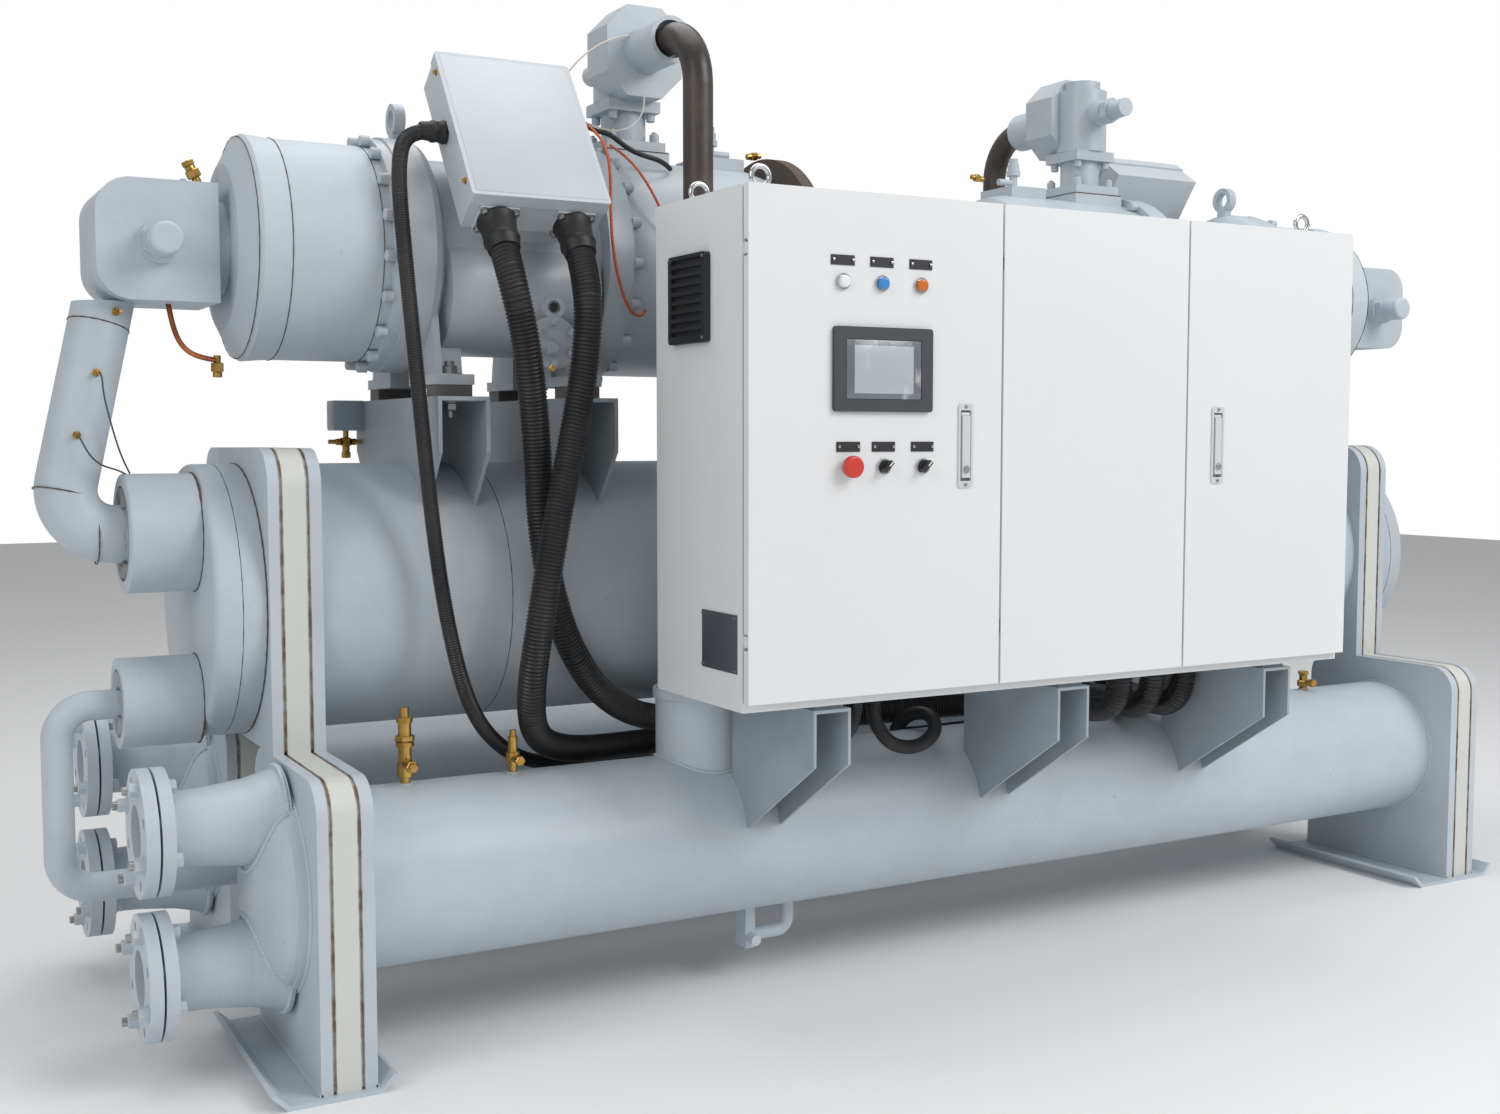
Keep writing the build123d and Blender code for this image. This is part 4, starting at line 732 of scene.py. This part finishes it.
for label, side in (("left", 1), ("right", -1)):
    down = turned_round(-lid_up, side)
    gland_screws = []
    boots = bmesh.new()
    for x in gland_xs:
        plate = Vector((x, lid_foot.y, lid_foot.z)) - lid_out * gland_depth - lid_up * 4
        for a in (-1, 1):
            for b in (-1, 1):
                gland_screws.append(spot(*turned_round(plate + Vector((a * 31, 0, 0)) + lid_out * b * 25, side)))
        profile = [(0, 37), (5, 38.5), (9, 36.5), (26, 34.5), (44, 33), (47, 35), (54, 35), (57, 32.5), (72, 31.2),
                   (76, 29.5)]
        lathe(boots, profile, 40, along_axis(spot(*turned_round(plate, side)), down))
    bolts(label + "_gland_screws", gland_screws, down, 6.2, 7, 7.6, zinc, 16)
    finish_mesh(label + "_gland_boots", boots, rubber)
    lid_screws = [Vector((box_x + (0 if x < 0 else box_width), lid_foot.y, lid_foot.z)) + lid_up * box_len * share
                  - lid_out * 14 for x in (-1, 1) for share in (0.12, 0.88)]
    ways = [(-side, 0, 0)] * 2 + [(side, 0, 0)] * 2
    fitting(label + "_lid_screws", [(spot(*turned_round(at, side)), way, [(1.2, 7, 18), (5, 4.6, 6)])
                                    for at, way in zip(lid_screws, ways)], brass)
    side_gland = Vector((box_x, -198, 1701))
    boot = bmesh.new()
    lathe(boot, [(-2, 22), (4, 23), (8, 20.5), (17, 19.5), (20, 21), (26, 21), (30, 18.5), (44, 17.4), (48, 16)], 32,
          along_axis(spot(*turned_round(side_gland, side)), (-side, 0, 0)))
    finish_mesh(label + "_side_boot", boot, rubber)
    cover = bmesh.new()
    frame_in = along_axis(spot(*turned_round(lid_foot + Vector((box_x, 0, 0)), side)), turned_round(lid_out, side))
    frame_in = Matrix.Translation(frame_in.translation) @ Matrix((
        (side, 0, 0), (0, side * lid_up.y, side * lid_out.y), (0, lid_up.z, lid_out.z))).to_4x4()
    for low, high in (((9, 9, -0.4), (box_width - 9, box_len - 9, 0.8)),):
        block(cover, low, high, 0.7, frame_in)
    bmesh.ops.recalc_face_normals(cover, faces=cover.faces)
    finish_mesh(label + "_lid_panel", cover, box_paint)

# Small leads: a braided orange sensor cable, a black loom and a pale capillary run from the left
# terminal box over the casting, held at both ends, and two thin leads leave the pipe pockets.
orange_braid = Finish("orange_braid", "conduit_black", srgb(196, 92, 52), 0.6)
orange_braid.set("Base Color", orange_braid.blend(orange_braid.ramp(orange_braid.noise(420.0, 2.0), 0.4, 0.6),
                                                  srgb(176, 78, 44), srgb(214, 112, 70)))
pale_sleeve = Finish("pale_sleeve", "legend_plate", srgb(214, 208, 200), 0.5)
grey_sleeve = Finish("grey_sleeve", "conduit_black", srgb(74, 72, 72), 0.5)


def lead(name, points, radius, finish):
    mesh, path = smooth_line([spot(*p) for p in points])
    piece = apply_group(name, mesh, rib_tree, {
        "Radius": radius, "Pitch": 0.008, "Depth": radius * 0.08, "Step": 0.003, "Sides": 10}, finish)
    spot(*points[0])
    return piece


lead("orange_lead", [
    (-816, -150, 1772), (-800, -236, 1722), (-791, -262, 1680), (-788, -268, 1630), (-788, -266, 1580),
    (-784, -262, 1520), (-778, -260, 1478), (-767, -258, 1431), (-752, -254, 1392), (-732, -248, 1366),
    (-708, -240, 1362), (-690, -218, 1376)], 0.0032, orange_braid)
lead("orange_lead_2", [
    (-712, -100, 1726), (-708, -150, 1702), (-700, -196, 1670), (-686, -226, 1630), (-668, -240, 1588),
    (-650, -240, 1545), (-640, -236, 1500), (-634, -226, 1462)], 0.003, orange_braid)
lead("black_loom", [
    (-818, -130, 1790), (-792, -144, 1752), (-764, -150, 1742), (-736, -152, 1738), (-710, -150, 1722),
    (-684, -150, 1708), (-655, -152, 1700), (-628, -150, 1696), (-604, -140, 1690), (-584, -122, 1684)],
    0.0055, rubber)
lead("pale_lead", [
    (-818, -118, 1800), (-790, -120, 1768), (-755, -122, 1756), (-715, -122, 1750), (-678, -120, 1760),
    (-650, -118, 1785), (-640, -116, 1815), (-638, -108, 1842)], 0.0018, pale_sleeve)
lead("pale_lead_2", [
    (-830, -100, 1822), (-818, -104, 1850), (-796, -120, 1884), (-765, -134, 1912), (-730, -136, 1932),
    (-700, -130, 1944), (-676, -120, 1950)], 0.0018, pale_sleeve)
for label, (at, out), rest in (
        ("upper_pocket_lead", pockets[1], [(-1722, -118, 1196), (-1712, -116, 1150), (-1698, -100, 1104),
                                           (-1684, -78, 1072), (-1672, -60, 1052)]),
        ("lower_pocket_lead", pockets[2], [(-1752, -134, 1088), (-1734, -128, 1070), (-1712, -108, 1062),
                                           (-1696, -88, 1058), (-1682, -74, 1051)])):
    tip = at + out * 22
    lead(label, [tuple(tip - out * 2), tuple(tip + out * 12 + Vector((2, 0, -6)))] + rest, 0.0017, grey_sleeve)

# Electrical cabinet: folded sheet with a fine-grained pale grey powder coat, three doors on
# hidden hinges, chromed lifting eyes on the roof and a black fan filter on the left side.
powder = Finish("cabinet_powder", "cabinet_paint", srgb(226, 228, 229), 0.42)
powder.set("Base Color", powder.blend(powder.noise(2.0, 3.0), srgb(223, 225, 226), srgb(229, 231, 232)))
powder.bump(powder.noise(700.0, 1.0), 0.00012)
dress(powder, "cabinet_body", "left_door", "middle_door", "right_door")
chrome = Finish("polished_chrome", "chrome", srgb(205, 206, 208), 0.18, 1.0)
dress(chrome, "cabinet_lifting_rings", "switch_collars")
black_plastic = Finish("black_plastic", "black_plastic", srgb(36, 37, 39), 0.48)
black_plastic.bump(black_plastic.noise(500.0, 1.0), 0.0001)
dress(black_plastic, "fan_filter", "left_selector", "right_selector")
cab_side = -762.5
plate_alloy = Finish("rating_plate", "legend_plate", srgb(92, 96, 102), 0.36, 0.5)
plate_alloy.set("Base Color", plate_alloy.blend(plate_alloy.noise(8.0, 3.0), srgb(84, 88, 95), srgb(108, 112, 118)))
bm = bmesh.new()
block(bm, (cab_side - 1.4, -740, 697), (cab_side + 0.2, -606, 803), 0.5)
finish_mesh("rating_plate", bm, plate_alloy)
bolts("rating_plate_rivets", [spot(cab_side - 1.2, y, z) for y in (-734, -612) for z in (703, 797)], (-1, 0, 0),
      2.2, 1.4, 2.6, zinc, 10)
bolts("fan_screws", [spot(-774.5, -566 + a * 66, 1371 + b * 73) for a in (-1, 1) for b in (-1, 1)], (-1, 0, 0),
      3.0, 1.2, 3.4, zinc, 12)
bolts("lifting_ring_seats", [spot(x, y, 1556) for x in (-692.5, 667.5) for y in (-698, -463)], (0, 0, 1),
      17, 1.5, 20, chrome, 24)

# Operator controls: a film-covered screen in a dark frame, three lamps, two selectors and a stop
# button, each with a small engraved plate above it, held by two rivets.
door_y = -780.0
bezel = Finish("panel_bezel", "panel_bezel", srgb(62, 65, 70), 0.5)
dress(bezel, "operator_panel")
panel_x = -484.5
panel_z = 1240.0
film = Finish("screen_film", "panel_bezel", srgb(120, 128, 134), 0.16, coat=0.6)
across = abs(film.axis("X") - (middle.x + panel_x / 1000))
upward = abs(film.axis("Z") - panel_z / 1000)
display = (across < 0.064) * (upward < 0.043)
creases = film.ramp(film.noise(26.0, 5.0, stretch=(1.0, 1.0, 0.4), rough=0.6), 0.56, 0.66)
film.set("Base Color", film.blend(creases * 0.6, film.blend(display, srgb(104, 112, 118), srgb(176, 184, 188)),
                                  srgb(214, 219, 221)))
film.bump(film.noise(26.0, 5.0, stretch=(1.0, 1.0, 0.4), rough=0.6), 0.002)
bm = bmesh.new()
block(bm, (panel_x - 81, door_y - 7.4, panel_z - 53), (panel_x + 81, door_y - 5.5, panel_z + 53), 0.6)
finish_mesh("screen_film", bm, film, "left_door_leaf")
lens = Finish("lamp_lens", "lamp_lens", srgb(232, 235, 236), 0.16)
lamp_x = lens.axis("X") - middle.x
domes = lens.axis("Y") < middle.y + (door_y - 5.2) / 1000
colour = lens.blend(lamp_x.between(-0.52, -0.45), srgb(234, 236, 238), srgb(64, 138, 204))
colour = lens.blend(lamp_x > -0.45, colour, srgb(206, 112, 42))
lens.set("Base Color", lens.blend(domes, srgb(205, 206, 208), colour))
lens.set("Metallic", 1.0 - domes)
dress(lens, "signal_lamps")
legend = Finish("legend_plate", "legend_plate", srgb(38, 38, 42), 0.4)
tag_x = abs(legend.axis("X") - middle.x)
legend.set("Base Color", legend.blend(legend.noise(40.0, 3.0), srgb(34, 34, 38), srgb(50, 50, 55)))
dress(legend, "legend_plates")
tag_spots = [(x, 1433.0) for x in (-570.5, -487.0, -401.5)] + [(x, 1101.0) for x in (-557.5, -481.5, -395.5)]
bolts("legend_rivets", [spot(x + a * 20.5, door_y - 1.5, z) for x, z in tag_spots for a in (-1, 1)], (0, -1, 0),
      2.4, 0.9, 2.6, chrome, 12, "left_door_leaf")
stop_red = Finish("stop_red", "red_plastic", srgb(205, 62, 50), 0.32)
stop_red.bump(stop_red.noise(200.0, 1.0), 0.0001)
dress(stop_red, "emergency_stop")
handle_grey = Finish("handle_grey", "handle_grey", srgb(205, 207, 209), 0.35)
handle_grey.bump(handle_grey.noise(260.0, 1.0), 0.0001)
dress(handle_grey, "left_handle_plate", "left_handle", "right_handle_plate", "right_handle")
pointer_white = Finish("pointer_white", "handle_grey", srgb(232, 232, 230), 0.4)
for name, x in (("left_selector", -481.5), ("right_selector", -395.5)):
    bm = bmesh.new()
    turn = Matrix.Translation(spot(x, door_y - 21.2, 1065)) @ Matrix.Rotation(math.radians(45), 4, "Y")
    block(bm, (-1.2, -0.4, 1), (1.2, 0.6, 11), 0.2, turn)
    finish_mesh(name + "_pointer", bm, pointer_white, name + "_knob")
for name, x in (("left_handle", -297.5), ("right_handle", 346.5)):
    fitting(name + "_lock", [(spot(x, door_y - 4.6, 1058), (0, -1, 0), [(2.4, 7.2, 28), (0.8, 4.6, 24)])],
            chrome, name + "_lever")
    bolts(name + "_plate_screws", [spot(x, door_y - 3, z) for z in (1029.5, 1175.5)], (0, -1, 0), 2.4, 0.8, 2.7,
          zinc, 12, name.replace("handle", "door_leaf"))

# Small brass valves: forged bodies with a cap on the stem and on the side port, screwed into the
# front condenser. A third, capped, stands near the right end.
fitting("valve_nuts", [
    (spot(-1248.5, -350, 492), (0, 0, 1), [(14, 14, 6)]), (spot(-1248.5, -350, 560), (0, 0, 1), [(10, 19, 6)]),
    (spot(-1248.5, -383, 518), (0, -1, 0), [(14, 12, 6), (8, 8, 16)]),
    (spot(-1037.5, -350, 496), (0, 0, 1), [(12, 15, 6)]), (spot(-1037.5, -379, 508), (0, -1, 0), [(12, 10, 6)]),
    (spot(1094, -350, 476), (0, 0, 1), [(12, 10, 18), (16, 15, 6), (14, 10, 18), (9, 13, 6)]),
    (spot(1094, -358, 500), (0, -1, 0), [(16, 8, 16), (12, 11, 6)])], brass)
beads("valve_welds", [hoop(x, -350, 480, r, (0, 0, 1), 40) for x, r in ((-1248.5, 11), (-1037.5, 10), (1094, 12))],
      0.0025, 0.004, 0.0008, vessel_paint)

# Conduits: black ribbed plastic hose, which hangs from the gland under each terminal box and
# ends in a gland under the cabinet. The line is one smooth curve through its own route.
hose_black = Finish("hose_black", "conduit_black", srgb(34, 34, 36), 0.38)
hose_black.set("Base Color", hose_black.blend(hose_black.ramp(hose_black.noise(7.0, 4.0), 0.4, 0.7),
                                              srgb(30, 30, 32), srgb(52, 50, 50)))


def conduit(name, points, radius, pitch, sides):
    mesh, path = smooth_line(points)
    piece = apply_group(name + "_hose", mesh, rib_tree, {
        "Radius": radius, "Pitch": pitch, "Depth": radius * 0.11, "Step": pitch / 4, "Sides": sides}, hose_black)
    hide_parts(name)
    2 * radius
    return piece


mouth = lid_foot - lid_out * gland_depth - lid_up * 24.0
below = mouth - lid_up * 110.0
under = 616.0
side_x = box_x - 16.0


def drop(gland_x, offsets):
    """Out of the gland, then down beside the saddles: offsets in x from the gland."""
    start = [(gland_x, mouth.y, mouth.z), (gland_x, below.y, below.z)]
    return start + [(gland_x + dx, y, z) for dx, y, z in offsets]


def rise(seat, side, points):
    """Along the condenser and up into the cabinet's gland: points in x and y from that gland."""
    gx, gy = seat
    up = points + [(0, side * 46, under - 104), (0, 0, under - 58), (0, 0, under)]
    return [(side * gx + dx, side * gy + dy, z) for dx, dy, z in up]


def side_drop(offsets):
    """Out of the side of the terminal box, then down: offsets in x from that gland."""
    start = [(side_x, -198.0, 1701.0), (side_x - 56, -198.0, 1701.0)]
    return start + [(side_x + dx, y, z) for dx, y, z in offsets]


seats = {
    "left_power_conduit_1": (-450.0, -560.0), "left_power_conduit_2": (292.0, -560.0),
    "left_control_conduit": (-385.0, -545.0), "right_power_conduit_1": (480.0, -560.0),
    "right_power_conduit_2": (388.0, -560.0), "right_control_conduit": (-322.0, -510.0)}
gland_1, gland_2 = gland_xs
routes = {
    "left_power_conduit_1": (power_radius, 1, drop(gland_1, [
        (35, -370, 1290), (68, -330, 1120), (85, -306, 930), (118, -306, 760), (193, -285, 630), (298, -238, 555)])
        + rise(seats["left_power_conduit_1"], 1, [(-188, 348, 528), (-90, 315, 520), (-25, 235, 516), (0, 140, 512)])),
    "left_power_conduit_2": (power_radius, 1, drop(gland_2, [
        (-5, -390, 1290), (-37, -392, 1120), (-77, -388, 930), (-104, -380, 760), (-112, -345, 620),
        (-72, -270, 525), (28, -190, 480), (168, -140, 468), (388, -108, 470)])
        + rise(seats["left_power_conduit_2"], 1, [(-542, 460, 476), (-312, 430, 484), (-142, 370, 494),
                                                  (-47, 270, 506), (-4, 160, 512)])),
    "left_control_conduit": (control_radius, 1, side_drop([
        (-86, -226, 1630), (-84, -262, 1450), (-72, -292, 1205), (-58, -318, 960), (-38, -332, 780),
        (2, -325, 620), (82, -250, 520), (222, -120, 440), (482, -60, 412)])
        + rise(seats["left_control_conduit"], 1, [(-80, 458, 412), (-22, 360, 446), (-5, 255, 490), (0, 150, 502)])),
    "right_power_conduit_1": (power_radius, -1, drop(gland_1, [
        (33, -370, 1290), (58, -340, 1120), (68, -318, 930), (78, -318, 760), (113, -270, 620), (183, -175, 535),
        (268, -50, 488), (343, 80, 482), (423, 220, 494)])
        + rise(seats["right_power_conduit_1"], -1, [(-50, -220, 510), (-8, -130, 512)])),
    "right_power_conduit_2": (power_radius, -1, drop(gland_2, [
        (3, -382, 1290), (8, -360, 1120), (16, -335, 930), (30, -322, 760), (70, -270, 620), (135, -175, 535),
        (220, -50, 488), (300, 80, 482), (385, 220, 494)])
        + rise(seats["right_power_conduit_2"], -1, [(-65, -220, 510), (-20, -120, 512)])),
    "right_control_conduit": (control_radius, -1, side_drop([
        (-86, -226, 1630), (-84, -262, 1450), (-72, -292, 1205), (-58, -318, 960), (-38, -332, 780),
        (2, -325, 620), (112, -200, 500), (302, -60, 420), (622, 10, 408), (922, 60, 412), (1122, 120, 424),
        (1182, 215, 466), (1210, 320, 516), (1222, 410, 522), (1262, 478, 496), (1327, 500, 474), (1392, 502, 486),
        (1432, 506, 530), (1444, 510, 566), (1444, 510, under)])),
}
for name, (radius, side, route) in routes.items():
    thick = radius > control_radius
    conduit(name, [spot(side * x, side * y, z) for x, y, z in route], radius, 0.0075 if thick else 0.005,
            24 if thick else 16)
gland_nuts = []
for name, (x, y) in seats.items():
    r = routes[name][0] * 1000
    gland_nuts.append((spot(x, y, under + 13), (0, 0, -1), [(9, r + 10, 6), (6, r + 4, 30), (9, r + 7.5, 6),
                                                             (5, r + 3.5, 30)]))
fitting("cabinet_gland_nuts", gland_nuts, rubber)

# The room: a plain pale floor, a white surround and three soft lamps, with the camera where
# the photograph was taken from.
floor_mesh = bpy.data.meshes.new("floor")
floor_mesh.from_pydata([(-14, -12, 0), (14, -12, 0), (14, 16, 0), (-14, 16, 0)], [], [(0, 1, 2, 3)])
floor = bpy.data.objects.new("floor", floor_mesh)
bpy.context.scene.collection.objects.link(floor)
floor_paint = Finish("pale_floor", "cabinet_paint", srgb(236, 237, 238), 0.85)
floor_mesh.materials.append(floor_paint.material)

world = bpy.data.worlds.new("surround")
bpy.context.scene.world = world
world.use_nodes = True
sky = Net(world.node_tree)
light_path = world.node_tree.nodes.new("ShaderNodeLightPath")
seen = Wire(sky, light_path.outputs["Is Camera Ray"]) + Wire(sky, light_path.outputs["Is Glossy Ray"]) * 0.0
seen = seen + Wire(sky, light_path.outputs["Is Transmission Ray"])
ground = world.node_tree.nodes["Background"]
ground.inputs["Color"].default_value = (1, 1, 1, 1)
sky.put(ground.inputs["Strength"], 0.42 + seen * 0.58)

for label, place, size, power in (("key", (2.6, -4.6, 4.6), 3.5, 215), ("fill", (-5.2, -2.6, 3.2), 3.0, 62),
                                  ("top", (-0.5, 1.0, 5.2), 4.0, 110)):
    lamp = bpy.data.lights.new(label, "AREA")
    lamp.size = size
    lamp.energy = power
    holder = bpy.data.objects.new(label, lamp)
    holder.location = place
    holder.rotation_euler = (Vector((0, 0, 0.9)) - Vector(place)).to_track_quat("-Z", "Y").to_euler()
    bpy.context.scene.collection.objects.link(holder)

camera_data = bpy.data.cameras.new("camera")
camera_data.lens = 39.48
camera_data.sensor_width = 36.0
camera = bpy.data.objects.new("camera", camera_data)
camera.location = (-2.1201, -3.1695, 1.1148)
camera.rotation_euler = Vector((0.4881, 0.8699, -0.0715)).to_track_quat("-Z", "Y").to_euler()
bpy.context.scene.collection.objects.link(camera)
bpy.context.scene.camera = camera
bpy.context.scene.view_settings.view_transform = "Standard"
